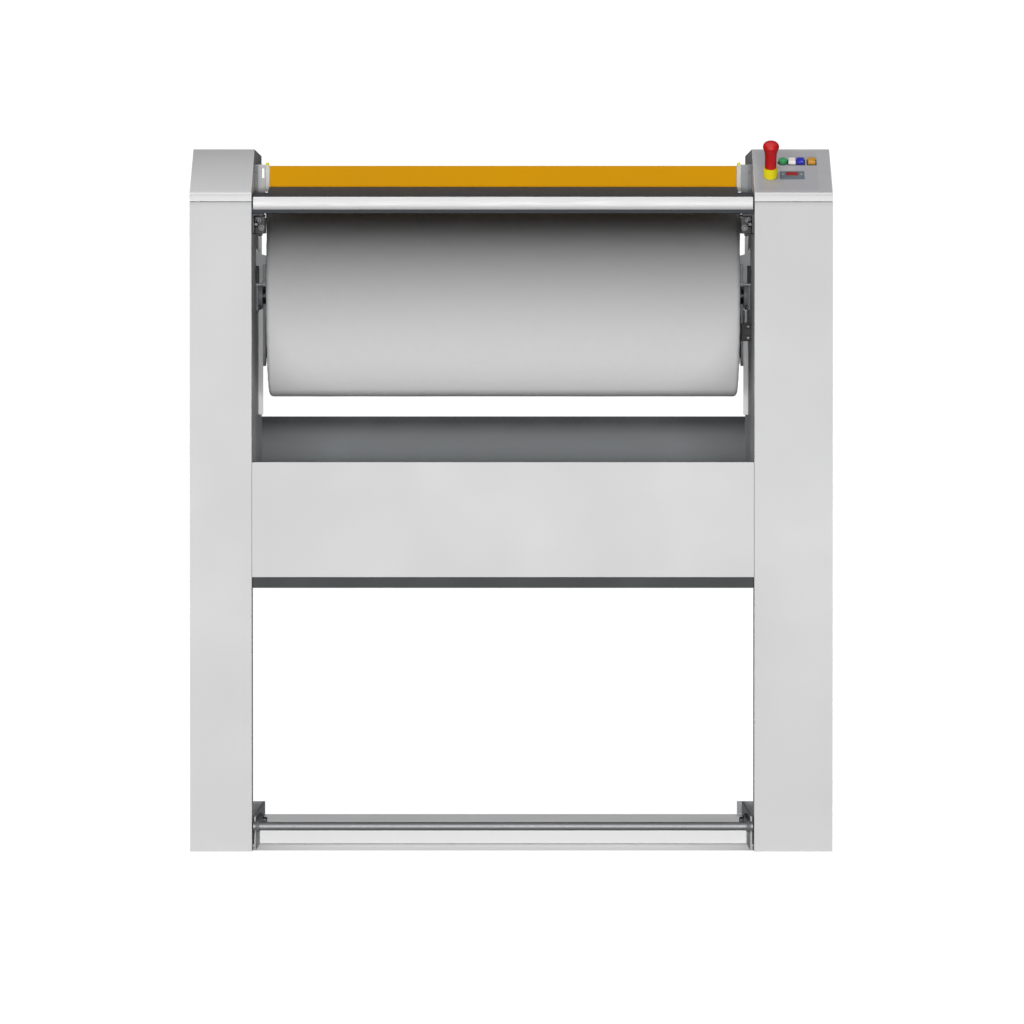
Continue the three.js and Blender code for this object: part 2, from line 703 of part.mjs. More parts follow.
function fingerGuard() {
  const path = [
    [GUARD_Y - GUARD_SHEET / 2, GUARD_BOTTOM],
    [GUARD_Y - GUARD_SHEET / 2, GUARD_TOP],
    [GUARD_Y + GUARD_HEM, GUARD_TOP],
  ];
  const gap = POST_GAP + POST_WIDTH + CLEAR;
  return alongX(foldedSheet(path, -GUARD_SHEET), LEFT_EDGE + gap, RIGHT_EDGE - gap);
}

function guardPost(column) {
  const inner = -POST_GAP;
  const post = slab(
    column,
    inner,
    inner - POST_WIDTH,
    GUARD_Y - POST_DEPTH / 2,
    GUARD_Y + POST_DEPTH / 2,
    POST_BOTTOM,
    POST_TOP,
  );
  const bore = rodX(
    outward(column, inner + 1),
    outward(column, inner - GUARD_PIN_LENGTH - 2 * CLEAR),
    GUARD_Y,
    GUARD_PIVOT_HEIGHT,
    GUARD_PIN_RADIUS + RUNNING,
    ROUND_SMALL,
  );
  return cut(post, bore);
}

/** The fixed plate at one end of the guard, with its pivot pin; the left one has a window. */
function guardBracket(column) {
  const inner = -POST_GAP + CLEAR;
  const front = GUARD_Y - POST_DEPTH / 2;
  const rear = GUARD_Y + POST_DEPTH / 2;
  const bracket = join(
    slab(column, -CLEAR, inner, front, rear, GUARD_BRACKET_BOTTOM, GUARD_BRACKET_TOP),
    rodX(
      outward(column, inner + 2),
      outward(column, inner - GUARD_PIN_LENGTH),
      GUARD_Y,
      GUARD_PIVOT_HEIGHT,
      GUARD_PIN_RADIUS,
      ROUND_SMALL,
    ),
  );
  if (column === RIGHT) return bracket;
  const middle = -GUARD_WINDOW_OFFSET;
  const window = slab(
    column,
    middle - GUARD_WINDOW_WIDTH / 2,
    middle + GUARD_WINDOW_WIDTH / 2,
    front - 1,
    rear + 1,
    GUARD_WINDOW_BOTTOM,
    GUARD_WINDOW_BOTTOM + GUARD_WINDOW_HEIGHT,
  );
  return cut(bracket, window);
}

// ---------------------------------------------------------------- roll

const ROLL_FROM = LEFT_EDGE + ROLL_END_GAP;
const ROLL_TO = RIGHT_EDGE - ROLL_END_GAP;
const PADDING_RADIUS = ROLL_RADIUS - CLOTH - CLEAR;
const DRUM_RADIUS = PADDING_RADIUS - PADDING - CLEAR;

/** The steel tube with an end plate near each end; holes in the plates open its inside. */
function rollDrum() {
  const gap = CLOTH + CLEAR;
  const from = ROLL_FROM + gap;
  const to = ROLL_TO - gap;
  const inner = DRUM_RADIUS - DRUM_WALL;
  const bore = SHAFT_RADIUS + CLEAR;
  const wall = [
    [inner, from],
    [inner, to],
    [DRUM_RADIUS, to],
    [DRUM_RADIUS, from],
  ];
  const tube = turnedX(wall, ROLL_Y, ROLL_HEIGHT);
  const plate = (x) =>
    turnedX(
      [
        [bore, x],
        [bore, x + DRUM_END_PLATE],
        [inner + 1, x + DRUM_END_PLATE],
        [inner + 1, x],
      ],
      ROLL_Y,
      ROLL_HEIGHT,
    );
  const left = from + DRUM_END_INSET;
  const right = to - DRUM_END_INSET - DRUM_END_PLATE;
  const ring = (inner + bore) / 2;
  const holes = [];
  for (let i = 0; i < DRUM_HOLES; i += 1) {
    const angle = (i * 2 * Math.PI) / DRUM_HOLES;
    const y = ROLL_Y + ring * Math.cos(angle);
    const z = ROLL_HEIGHT + ring * Math.sin(angle);
    holes.push(rodX(from, to, y, z, DRUM_HOLE_RADIUS, ROUND_SMALL));
  }
  return cut(join(tube, plate(left), plate(right)), ...holes);
}

function rollShaft() {
  const from = outward(LEFT, FRAME_INSET + FRAME_PLATE);
  const to = outward(RIGHT, PULLEY_OFFSET + PULLEY_WIDTH + PULLEY_LIP + CLEAR);
  return rodX(from, to, ROLL_Y, ROLL_HEIGHT, SHAFT_RADIUS);
}

function rollPadding() {
  const inner = DRUM_RADIUS + CLEAR;
  const from = ROLL_FROM + CLOTH + CLEAR;
  const to = ROLL_TO - CLOTH - CLEAR;
  const edge = ROLL_EDGE_RADIUS - CLOTH;
  const profile = [
    [inner, from],
    [inner, to],
    [PADDING_RADIUS - edge, to],
    [PADDING_RADIUS, to - edge],
    [PADDING_RADIUS, from + edge],
    [PADDING_RADIUS - edge, from],
  ];
  return turnedX(profile, ROLL_Y, ROLL_HEIGHT);
}

/** The cloth over the padding, rounded over both edges and turned in over the ends. */
function rollCover() {
  const outer = new THREE.Path();
  const turnIn = ROLL_RADIUS - CLOTH_TURN_IN;
  outer.moveTo(turnIn, ROLL_FROM);
  outer.absarc(ROLL_RADIUS - ROLL_EDGE_RADIUS, ROLL_FROM + ROLL_EDGE_RADIUS, ROLL_EDGE_RADIUS,
    -Math.PI / 2, 0, false);
  outer.absarc(ROLL_RADIUS - ROLL_EDGE_RADIUS, ROLL_TO - ROLL_EDGE_RADIUS, ROLL_EDGE_RADIUS,
    0, Math.PI / 2, false);
  outer.lineTo(turnIn, ROLL_TO);
  const inner = new THREE.Path();
  const bend = ROLL_EDGE_RADIUS - CLOTH;
  inner.moveTo(turnIn, ROLL_TO - CLOTH);
  inner.absarc(ROLL_RADIUS - ROLL_EDGE_RADIUS, ROLL_TO - ROLL_EDGE_RADIUS, bend,
    Math.PI / 2, 0, true);
  inner.absarc(ROLL_RADIUS - ROLL_EDGE_RADIUS, ROLL_FROM + ROLL_EDGE_RADIUS, bend,
    0, -Math.PI / 2, true);
  inner.lineTo(turnIn, ROLL_FROM + CLOTH);
  const points = [...outer.getPoints(ARC_STEPS / 2), ...inner.getPoints(ARC_STEPS / 2)];
  const profile = points.map(({ x, y }) => [x, y]);
  return turnedX(profile, ROLL_Y, ROLL_HEIGHT);
}

/** The flanged bearing: inside the column, with its boss through the inner cover and a keeper plate. */
function bearing(column) {
  const half = BEARING_FLANGE / 2;
  const back = FRAME_INSET - CLEAR;
  const keeperTop = ROLL_HEIGHT + BEARING_PLATE_HEIGHT / 2;
  const body = join(
    slab(column, back - BEARING_FLANGE_THICKNESS, back, ROLL_Y - half, ROLL_Y + half,
      ROLL_HEIGHT - half, ROLL_HEIGHT + half),
    rodX(outward(column, back - 1), outward(column, -ROLL_END_GAP / 2), ROLL_Y, ROLL_HEIGHT,
      BEARING_BOSS_RADIUS),
    slab(column, -CLEAR, -CLEAR - BEARING_PLATE, ROLL_Y - BEARING_PLATE_WIDTH / 2,
      ROLL_Y + BEARING_PLATE_WIDTH / 2, keeperTop - BEARING_PLATE_HEIGHT, keeperTop),
  );
  const bore = rodX(outward(column, back + 1), outward(column, -ROLL_END_GAP), ROLL_Y, ROLL_HEIGHT,
    SHAFT_RADIUS + RUNNING);
  return cut(body, bore);
}

// ---------------------------------------------------------------- drive

/** A pulley with a lip on each side of its belt. */
function pulley(radius, bore, z) {
  const from = outward(RIGHT, PULLEY_OFFSET);
  const to = from + PULLEY_WIDTH;
  const lip = radius + PULLEY_LIP_RISE;
  const profile = [
    [bore, from],
    [lip, from],
    [lip, from + PULLEY_LIP],
    [radius, from + PULLEY_LIP],
    [radius, to - PULLEY_LIP],
    [lip, to - PULLEY_LIP],
    [lip, to],
    [bore, to],
  ];
  return turnedX(profile, ROLL_Y, z, ROUND_MEDIUM);
}

const MOTOR_Z = ROLL_HEIGHT - PULLEY_DISTANCE;

function driveBelt() {
  const loop = (extra) =>
    linkOutline(
      [ROLL_Y, MOTOR_Z, MOTOR_PULLEY_RADIUS + RUNNING + extra],
      [ROLL_Y, ROLL_HEIGHT, ROLL_PULLEY_RADIUS + RUNNING + extra],
    );
  const outline = loop(BELT_THICKNESS);
  outline.holes.push(loop(0));
  const from = outward(RIGHT, PULLEY_OFFSET + PULLEY_LIP + CLEAR);
  return alongX(outline, from, from + PULLEY_WIDTH - 2 * PULLEY_LIP - 2 * CLEAR, LONG_ARC_STEPS);
}

const MOTOR_FACE = PULLEY_OFFSET + PULLEY_WIDTH + 4 * CLEAR;

/** The geared motor, on a foot that reaches under its pulley to the side frame. */
function gearMotor() {
  const plate = FRAME_INSET + FRAME_PLATE + CLEAR;
  const end = MOTOR_FACE + MOTOR_LENGTH;
  const bottom = MOTOR_Z - MOTOR_FOOT_DROP;
  const front = ROLL_Y - MOTOR_FOOT_DEPTH / 2;
  const rear = ROLL_Y + MOTOR_FOOT_DEPTH / 2;
  const thick = MOTOR_FOOT_PLATE;
  const body = join(
    rodX(outward(RIGHT, MOTOR_FACE), outward(RIGHT, end), ROLL_Y, MOTOR_Z, MOTOR_RADIUS),
    slab(RIGHT, MOTOR_FACE, end, ROLL_Y - MOTOR_SADDLE, ROLL_Y + MOTOR_SADDLE, bottom, MOTOR_Z),
    slab(RIGHT, plate, end, front, rear, bottom, bottom + thick),
    slab(RIGHT, plate, plate + thick, front, rear, bottom, bottom + MOTOR_FOOT_UPSTAND),
  );
  const bore = rodX(
    outward(RIGHT, MOTOR_FACE - 1),
    outward(RIGHT, MOTOR_FACE + MOTOR_SHAFT_DEPTH + CLEAR),
    ROLL_Y,
    MOTOR_Z,
    MOTOR_SHAFT_RADIUS + RUNNING,
    ROUND_SMALL,
  );
  return cut(body, bore);
}

/** The motor's pulley with the shaft that stands in the motor's face. */
function motorPulley() {
  const shaft = rodX(
    outward(RIGHT, PULLEY_OFFSET),
    outward(RIGHT, MOTOR_FACE + MOTOR_SHAFT_DEPTH),
    ROLL_Y,
    MOTOR_Z,
    MOTOR_SHAFT_RADIUS,
    ROUND_SMALL,
  );
  return join(pulley(MOTOR_PULLEY_RADIUS, MOTOR_SHAFT_RADIUS / 2, MOTOR_Z), shaft);
}

// ---------------------------------------------------------------- heated chest, made closed, shown open

/** The sector between two radii and two angles round the roll, an angle of 0 pointing to the rear. */
function sector(inner, outer, low, high) {
  const shape = new THREE.Shape();
  shape.absarc(ROLL_Y, ROLL_HEIGHT, outer, radians(low), radians(high), false);
  shape.absarc(ROLL_Y, ROLL_HEIGHT, inner, radians(high), radians(low), true);
  return shape;
}

const CHEST_INNER = ROLL_RADIUS + NIP;
const CHEST_OUTER = CHEST_INNER + CHEST_PLATE;
const CHEST_END = CHEST_ARM_OFFSET + CHEST_ARM_PLATE + CLEAR;

function ironingPlate() {
  const outline = sector(CHEST_INNER, CHEST_OUTER, CHEST_LOW_ANGLE, CHEST_HIGH_ANGLE);
  return alongX(outline, LEFT_EDGE + CHEST_END, RIGHT_EDGE - CHEST_END, LONG_ARC_STEPS);
}

/** The sheet jacket round the back of the plate, turned in at its two long edges. */
function chestCover() {
  const from = LEFT_EDGE + CHEST_END;
  const to = RIGHT_EDGE - CHEST_END;
  const jacket = CHEST_OUTER + CHEST_JACKET_GAP;
  const shell = sector(CHEST_OUTER + CLEAR, jacket, CHEST_LOW_ANGLE, CHEST_HIGH_ANGLE);
  const edge = (JACKET_SHEET / jacket) * THREE.MathUtils.RAD2DEG;
  const room = sector(
    CHEST_OUTER - 1,
    jacket - JACKET_SHEET,
    CHEST_LOW_ANGLE + edge,
    CHEST_HIGH_ANGLE - edge,
  );
  return cut(
    alongX(shell, from, to, LONG_ARC_STEPS),
    alongX(room, from - 1, to + 1, LONG_ARC_STEPS),
  );
}

function heaterElement(angle) {
  const radius = CHEST_OUTER + HEATER_RADIUS + 2 * CLEAR;
  const y = ROLL_Y + radius * Math.cos(radians(angle));
  const z = ROLL_HEIGHT + radius * Math.sin(radians(angle));
  const gap = CHEST_END + FRAME_INSET;
  return rodX(LEFT_EDGE + gap, RIGHT_EDGE - gap, y, z, HEATER_RADIUS, ROUND_SMALL);
}

/** The arm at one end of the chest, with its pivot pin and, inside the column, its lever. */
function chestArm(column) {
  const top = PIVOT_Z + CHEST_ARM_RISE;
  const middle = (CHEST_INNER + CHEST_OUTER + CHEST_JACKET_GAP) / 2;
  const topY = ROLL_Y + Math.sqrt(middle ** 2 - (top - ROLL_HEIGHT) ** 2);
  const outline = linkOutline(
    [PIVOT_Y, PIVOT_Z, CHEST_ARM_EYE],
    [topY, top - CHEST_ARM_EYE, CHEST_ARM_EYE],
  );
  const lever = linkOutline(
    [PIVOT_Y, PIVOT_Z, CHEST_LEVER_EYE],
    [PIVOT_Y - CHEST_LEVER, PIVOT_Z, CHEST_LEVER_TIP],
  );
  const arm = -CHEST_ARM_OFFSET;
  const pinEnd = FRAME_INSET + FRAME_PLATE + PIN_PROUD;
  return join(
    alongX(outline, outward(column, arm), outward(column, arm - CHEST_ARM_PLATE)),
    rodX(outward(column, arm - 1), outward(column, pinEnd), PIVOT_Y, PIVOT_Z, CHEST_PIN_RADIUS),
    alongX(lever, outward(column, LINK_INSET), outward(column, LINK_INSET + LINK_PLATE)),
  );
}

function addChest() {
  const chest = new THREE.Group();
  chest.position.set(0, PIVOT_Y, PIVOT_Z);
  chest.rotation.x = -radians(CHEST_OPEN_ANGLE);
  const place = (name, geometry, material) => {
    add(name, geometry.translate(0, -PIVOT_Y, -PIVOT_Z), material, chest);
  };
  place('ironing_plate', ironingPlate(), brightSteel);
  place('chest_cover', chestCover(), zincSteel);
  for (const [name, angle] of Object.entries(HEATER_ANGLES)) {
    place(name, heaterElement(angle), darkSteel);
  }
  COLUMNS.forEach((column) => place(`chest_arm_${column.side}`, chestArm(column), zincSteel));
  ironer.add(chest);
}

// ---------------------------------------------------------------- foot bar and linkage

function footBar() {
  return rodX(LEFT_EDGE + BAR_END_GAP, RIGHT_EDGE - BAR_END_GAP, BAR_Y, BAR_HEIGHT, BAR_RADIUS);
}

/** The arm at one end of the foot bar, with its pivot pin and, inside the column, its crank. */
function pedalArm(column) {
  const arm = -PEDAL_ARM_OFFSET;
  const reach = linkOutline(
    [PEDAL_Y, BAR_HEIGHT, PEDAL_EYE_RADIUS],
    [BAR_Y, BAR_HEIGHT, PEDAL_TIP_RADIUS],
  );
  const crank = linkOutline(
    [PEDAL_Y, BAR_HEIGHT, PEDAL_EYE_RADIUS],
    [PEDAL_Y - PEDAL_CRANK, BAR_HEIGHT, PEDAL_TIP_RADIUS],
  );
  const pinEnd = FRAME_INSET + FRAME_PLATE + PIN_PROUD;
  const body = join(
    alongX(reach, outward(column, arm), outward(column, arm - PEDAL_ARM_PLATE)),
    rodX(outward(column, arm - 1), outward(column, pinEnd), PEDAL_Y, BAR_HEIGHT, PEDAL_PIN_RADIUS),
    alongX(crank, outward(column, LINK_INSET), outward(column, LINK_INSET + LINK_PLATE)),
  );
  const eye = rodX(outward(column, 0), outward(column, 2 * arm - PEDAL_ARM_PLATE), BAR_Y, BAR_HEIGHT,
    BAR_RADIUS + CLEAR);
  return cut(body, eye);
}

/** The flat rod that carries the pedal's pull up to the chest's lever. */
function pullRod(column) {
  const rise = CHEST_LEVER * Math.sin(radians(CHEST_OPEN_ANGLE));
  const outline = linkOutline(
    [PEDAL_Y - PEDAL_CRANK, BAR_HEIGHT, ROD_EYE],
    [PIVOT_Y - CHEST_LEVER, PIVOT_Z + rise, ROD_EYE],
  );
  const from = outward(column, CRANK_INSET);
  return alongX(outline, from, outward(column, CRANK_INSET + LINK_PLATE));
}

// ---------------------------------------------------------------- controls

/** A button's body between two heights off the slope, grown on every side by a clearance. */
function buttonShape({ x, width, round }, from, to, extra = 0) {
  const half = width / 2 + extra;
  const length = BUTTON_LENGTH / 2 + extra;
  if (round) return rodZ(x, BUTTON_ROW_UP, from, to, half, ROUND_MEDIUM);
  return box(x - half, x + half, BUTTON_ROW_UP - length, BUTTON_ROW_UP + length, from, to);
}

function displayModule() {
  const { x, up, width, length, height, depth } = DISPLAY;
  const half = width / 2;
  const neck = half - DISPLAY_NECK;
  const neckLength = length / 2 - DISPLAY_NECK;
  return join(
    box(x - half, x + half, up - length / 2, up + length / 2, CLEAR, height),
    box(x - neck, x + neck, up - neckLength, up + neckLength, -depth, height / 2),
  );
}

function eStopBase() {
  const bore = E_STOP_STEM_RADIUS + CLEAR;
  const profile = [
    [0, -E_STOP_SHANK_DEPTH],
    [E_STOP_SHANK_RADIUS, -E_STOP_SHANK_DEPTH],
    [E_STOP_SHANK_RADIUS, CLEAR],
    [E_STOP_COLLAR_RADIUS, CLEAR],
    [E_STOP_COLLAR_RADIUS, E_STOP_COLLAR_HEIGHT],
    [bore, E_STOP_COLLAR_HEIGHT],
    [bore, E_STOP_BORE_FLOOR],
    [0, E_STOP_BORE_FLOOR],
  ];
  return turnedZ(profile, E_STOP.x, E_STOP.up);
}

function eStopHead() {
  const crown = E_STOP_HEAD_TOP - E_STOP_HEAD_ROUND;
  const face = E_STOP_HEAD_RADIUS - E_STOP_HEAD_ROUND;
  const profile = [
    [0, E_STOP_STEM_FOOT],
    [E_STOP_STEM_RADIUS, E_STOP_STEM_FOOT],
    [E_STOP_STEM_RADIUS, E_STOP_TAPER_START],
    [E_STOP_HEAD_RADIUS, E_STOP_TAPER_END],
  ];
  for (const turn of [0, 30, 60, 90]) {
    profile.push([
      face + E_STOP_HEAD_ROUND * Math.cos(radians(turn)),
      crown + E_STOP_HEAD_ROUND * Math.sin(radians(turn)),
    ]);
  }
  profile.push([0, E_STOP_HEAD_TOP]);
  return turnedZ(profile, E_STOP.x, E_STOP.up);
}

function addControls() {
  add('e_stop_base', ontoSlope(eStopBase()), stopYellow);
  add('e_stop_head', ontoSlope(eStopHead()), stopRed);
  add('display_module', ontoSlope(displayModule()), displayGrey);
  BUTTONS.forEach((button) => {
    const shape = buttonShape(button, -BUTTON_DEPTH, BUTTON_HEIGHT);
    add(button.name, ontoSlope(shape), paint(button.color, 0.4, 0));
  });
}

// ---------------------------------------------------------------- electrics

/** The switch at the roll's right-hand end that feels the chest closing. */
function limitSwitch() {
  const y = FRONT + LIMIT_SWITCH_SETBACK;
  const top = LIMIT_SWITCH_BOTTOM + LIMIT_SWITCH_HEIGHT;
  return slab(RIGHT, -CLEAR, -LIMIT_SWITCH_REACH, y, y + LIMIT_SWITCH_DEPTH, LIMIT_SWITCH_BOTTOM, top);
}

const BOX_NEAR = FRAME_INSET + FRAME_PLATE + CLEAR;
const BOX_FAR = LEFT_COLUMN_WIDTH - BOX_COVER_GAP;
const GLAND_X = outward(LEFT, (BOX_NEAR + BOX_FAR) / 2);

/** The terminal box in the left-hand column, open towards the side frame that closes it. */
function electricalBox() {
  const front = ROLL_Y - BOX_DEPTH / 2;
  const rear = ROLL_Y + BOX_DEPTH / 2;
  const top = BOX_BOTTOM + BOX_HEIGHT;
  const shell = slab(LEFT, BOX_NEAR, BOX_FAR, front, rear, BOX_BOTTOM, top);
  const room = slab(LEFT, BOX_NEAR - 1, BOX_FAR - BOX_WALL, front + BOX_WALL, rear - BOX_WALL,
    BOX_BOTTOM + BOX_WALL, top - BOX_WALL);
  const entry = rodZ(GLAND_X, ROLL_Y, BOX_BOTTOM - 1, BOX_BOTTOM + 2 * BOX_WALL, GLAND_BORE);
  return cut(shell, room, entry);
}

/** The gland under the terminal box that the mains lead enters by. */
function cableGland() {
  const top = BOX_BOTTOM - CLEAR;
  const bottom = top - GLAND_LENGTH;
  const body = join(
    rodZ(GLAND_X, ROLL_Y, bottom, top, GLAND_RADIUS),
    rodZ(GLAND_X, ROLL_Y, top - GLAND_NUT_LENGTH, top, GLAND_NUT_RADIUS, 6),
    rodZ(GLAND_X, ROLL_Y, bottom, bottom + GLAND_NUT_LENGTH, GLAND_NUT_RADIUS, 6),
  );
  return cut(body, rodZ(GLAND_X, ROLL_Y, bottom - 1, top + 1, GLAND_BORE));
}

// ---------------------------------------------------------------- the whole ironer

COLUMNS.forEach(addColumn);
add('base_pan', basePan(), greyPaint);
add('base_tie_bar', baseTieBar(), darkSteel);
add('tray_front_panel', trayFrontPanel(), greyPaint);
add('tray_pan', trayPan(), darkSteel);
add('feed_table', feedTable(), darkTable);
add('feed_table_edge', feedTableEdge(), brightSteel);
add('finger_guard', fingerGuard(), guardYellow);
add('roll_drum', rollDrum(), zincSteel);
add('roll_shaft', rollShaft(), brightSteel);
add('roll_padding', rollPadding(), feltWhite);
add('roll_cover', rollCover(), clothGrey);
add('roll_pulley', pulley(ROLL_PULLEY_RADIUS, SHAFT_RADIUS + CLEAR, ROLL_HEIGHT), zincSteel);
add('motor_pulley', motorPulley(), zincSteel);
add('drive_belt', driveBelt(), blackRubber);
add('gear_motor', gearMotor(), motorBlue);
addChest();
add('foot_bar', footBar(), brightSteel);
COLUMNS.forEach((column) => {
  add(`feed_bracket_${column.side}`, feedBracket(column), darkSteel);
  add(`guard_post_${column.side}`, guardPost(column), postWhite);
  add(`guard_bracket_${column.side}`, guardBracket(column), greyPaint);
  add(`bearing_${column.side}`, bearing(column), castIron);
  add(`pedal_arm_${column.side}`, pedalArm(column), darkSteel);
  add(`pull_rod_${column.side}`, pullRod(column), zincSteel);
});
addControls();
add('limit_switch', limitSwitch(), blackPlastic);
add('electrical_box', electricalBox(), blackPlastic);
add('cable_gland', cableGland(), blackPlastic);

export default ironer;
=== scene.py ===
# %% [markdown]
# # A roller ironer for flatwork
#
# The machine irons sheets and towels. A padded roll, wrapped in cloth, turns in front of a heated
# metal chest. Linen is fed over the table, under the yellow finger guard, and drops into the tray.
# Two sheet-metal columns carry everything.
#
# The exact shapes come from a CAD model, in millimetres, with joints. This lesson only adds what
# the eye needs: real materials, rounded edges, cloth and the small fasteners. So the first step is
# to load that model as a fixed frame, and every piece made here is placed by measuring it.

# %% Load the CAD model and keep its overall box
import math

import bmesh
import bpy
from mathutils import Matrix, Vector, noise


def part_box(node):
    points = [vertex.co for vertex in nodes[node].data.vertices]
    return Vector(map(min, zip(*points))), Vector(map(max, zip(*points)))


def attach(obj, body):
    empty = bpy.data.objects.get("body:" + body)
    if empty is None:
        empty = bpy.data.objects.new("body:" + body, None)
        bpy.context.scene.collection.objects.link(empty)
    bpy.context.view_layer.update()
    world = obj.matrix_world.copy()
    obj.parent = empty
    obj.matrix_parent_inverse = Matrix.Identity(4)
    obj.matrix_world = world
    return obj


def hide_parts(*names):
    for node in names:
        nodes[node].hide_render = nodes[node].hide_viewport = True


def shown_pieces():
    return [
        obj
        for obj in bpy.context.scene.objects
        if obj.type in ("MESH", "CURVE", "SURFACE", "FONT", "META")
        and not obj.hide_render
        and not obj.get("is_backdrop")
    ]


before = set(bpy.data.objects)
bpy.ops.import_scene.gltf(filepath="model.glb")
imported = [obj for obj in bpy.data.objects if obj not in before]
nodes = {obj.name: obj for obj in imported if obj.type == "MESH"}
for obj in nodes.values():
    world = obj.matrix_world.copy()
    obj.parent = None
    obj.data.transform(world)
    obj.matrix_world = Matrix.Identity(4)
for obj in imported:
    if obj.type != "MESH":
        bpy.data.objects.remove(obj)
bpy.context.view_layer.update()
MM = 0.001

# %% [markdown]
# ## Camera
#
# The photograph was taken square from the front with a long lens: the columns hardly narrow
# towards the back. Such a view can be faked with an orthographic camera, but then the inner faces
# of the columns would vanish. A real distance of about ten metres and a 216 mm lens on a 36 mm
# sensor give the small amount of perspective that shows.

# %% Camera ten metres away, a little above the middle of the machine
FRONT = -212.5 * MM
camera_place = Vector((1.2 * MM, -10532.5 * MM, 760 * MM))
camera_target = Vector((1.2 * MM, FRONT, 572 * MM))

camera_data = bpy.data.cameras.new("camera")
camera_data.sensor_width = 36
camera_data.lens = 216
camera = bpy.data.objects.new("camera", camera_data)
bpy.context.scene.collection.objects.link(camera)
camera.location = camera_place
camera.rotation_euler = (camera_target - camera_place).to_track_quat("-Z", "Y").to_euler()
bpy.context.scene.camera = camera
print("camera looks down by", round(math.degrees(math.pi / 2 - camera.rotation_euler.x), 2), "degrees")

# %% [markdown]
# ## One way to write colours and nodes
#
# Colours are picked from a picture as sRGB hex values, while the renderer works in linear light, so
# one function turns the first into the second. Node trees get long when every node takes five
# lines. One helper adds any node, sets its options, and fills or links its sockets.

# %% Colour and node helpers


def colour(hex_value):
    """A linear colour with alpha from an sRGB hex value such as 0xCBCCCD."""
    channels = [(hex_value >> shift & 255) / 255 for shift in (16, 8, 0)]
    linear = [c / 12.92 if c <= 0.04045 else ((c + 0.055) / 1.055) ** 2.4 for c in channels]
    return (*linear, 1.0)


def add_node(tree, kind, sockets=None, **options):
    """Adds one node. options are its settings; sockets maps a socket to a value or to another's output."""
    made = tree.nodes.new(kind)
    for name, value in options.items():
        setattr(made, name, value)
    for name, value in (sockets or {}).items():
        if isinstance(value, bpy.types.NodeSocket):
            tree.links.new(value, made.inputs[name])
        else:
            made.inputs[name].default_value = value
    return made


def new_material(name, **surface):
    """An empty material with its Principled shader: (tree, shader, object coordinates in metres)."""
    material = bpy.data.materials.new(name)
    material.use_nodes = True
    tree = material.node_tree
    tree.nodes.clear()
    shader = add_node(tree, "ShaderNodeBsdfPrincipled", surface)
    output = add_node(tree, "ShaderNodeOutputMaterial", {"Surface": shader.outputs["BSDF"]})
    output.is_active_output = True
    place = add_node(tree, "ShaderNodeTexCoord").outputs["Object"]
    return tree, shader, place


def named(name):
    """The finished material of that name."""
    return bpy.data.materials[name]


print("0xCBCCCD in linear light:", [round(c, 3) for c in colour(0xCBCCCD)[:3]])

# %% [markdown]
# ## Powder-coated sheet steel
#
# The covers are thin steel sheet, sprayed with light grey powder and baked. Powder melts into a
# film with a faint orange-peel texture, bumps two or three millimetres wide and only hundredths
# deep. It gives a soft, even sheen without sharp reflections. A flat colour would look like
# plastic, so three things vary: the height (orange peel), the roughness, and very slightly the
# tone. Below the joint where the column's cover meets the cap, the paint is darkened in two
# bands, a soft one and a narrow one: painted shade under the cap.

# %% Powder coat: light grey on covers and caps, white on the base pan, yellow on the finger guard
PEEL_WIDTH, PEEL_DEPTH = 2.6, 0.03  # the orange peel, in mm
PAINT_CLOUD = 220  # width in mm of the slight clouds in tone and sheen
PAINTED_SHADE_BANDS = ((9.5, 3, 0.9), (2.2, 1.0, 0.72))  # from and to, in mm below the joint, and how dark: painted shade under the cap


def powder_coat(name, tone, roughness=0.42, joint_mm=None, gloss=0.5):
    """Sprayed and baked powder. joint_mm is the height of the cap's joint, below which shade is painted, if
    there is one.
    """
    tree, shader, place = new_material(name, **{"IOR": 1.5, "Specular IOR Level": gloss})
    cloudy = add_node(
        tree, "ShaderNodeTexNoise", {"Vector": place, "Scale": 1 / (PAINT_CLOUD * MM), "Detail": 3.0}
    ).outputs["Fac"]
    tone_shift = add_node(
        tree, "ShaderNodeMapRange",
        {"Value": cloudy, "From Min": 0.3, "From Max": 0.7, "To Min": 0.97, "To Max": 1.02},
    ).outputs["Result"]
    tinted = add_node(
        tree, "ShaderNodeVectorMath", {0: colour(tone)[:3], 1: tone_shift}, operation="MULTIPLY"
    ).outputs["Vector"]
    if joint_mm:
        height = add_node(tree, "ShaderNodeSeparateXYZ", {"Vector": place}).outputs["Z"]
        # painted shade: two darker bands below the cap's joint
        for start, end, darkest in PAINTED_SHADE_BANDS:
            painted_shade = add_node(
                tree, "ShaderNodeMapRange",
                {"Value": height, "From Min": (joint_mm - start) * MM, "From Max": (joint_mm - end) * MM,
                 "To Min": 1.0, "To Max": darkest},
                interpolation_type="SMOOTHSTEP",
            ).outputs["Result"]
            tinted = add_node(
                tree, "ShaderNodeVectorMath", {0: tinted, 1: painted_shade}, operation="MULTIPLY"
            ).outputs["Vector"]
    tree.links.new(tinted, shader.inputs["Base Color"])
    peel = add_node(
        tree, "ShaderNodeTexNoise",
        {"Vector": place, "Scale": 1 / (PEEL_WIDTH * MM), "Detail": 1.5, "Roughness": 0.4},
    ).outputs["Fac"]
    sheen = add_node(
        tree, "ShaderNodeMapRange",
        {"Value": cloudy, "From Min": 0.3, "From Max": 0.7,
         "To Min": roughness - 0.05, "To Max": roughness + 0.05},
    ).outputs["Result"]
    tree.links.new(sheen, shader.inputs["Roughness"])
    bump = add_node(
        tree, "ShaderNodeBump", {"Height": peel, "Strength": 1.0, "Distance": PEEL_DEPTH * MM}
    )
    tree.links.new(bump.outputs["Normal"], shader.inputs["Normal"])
    return named(name)


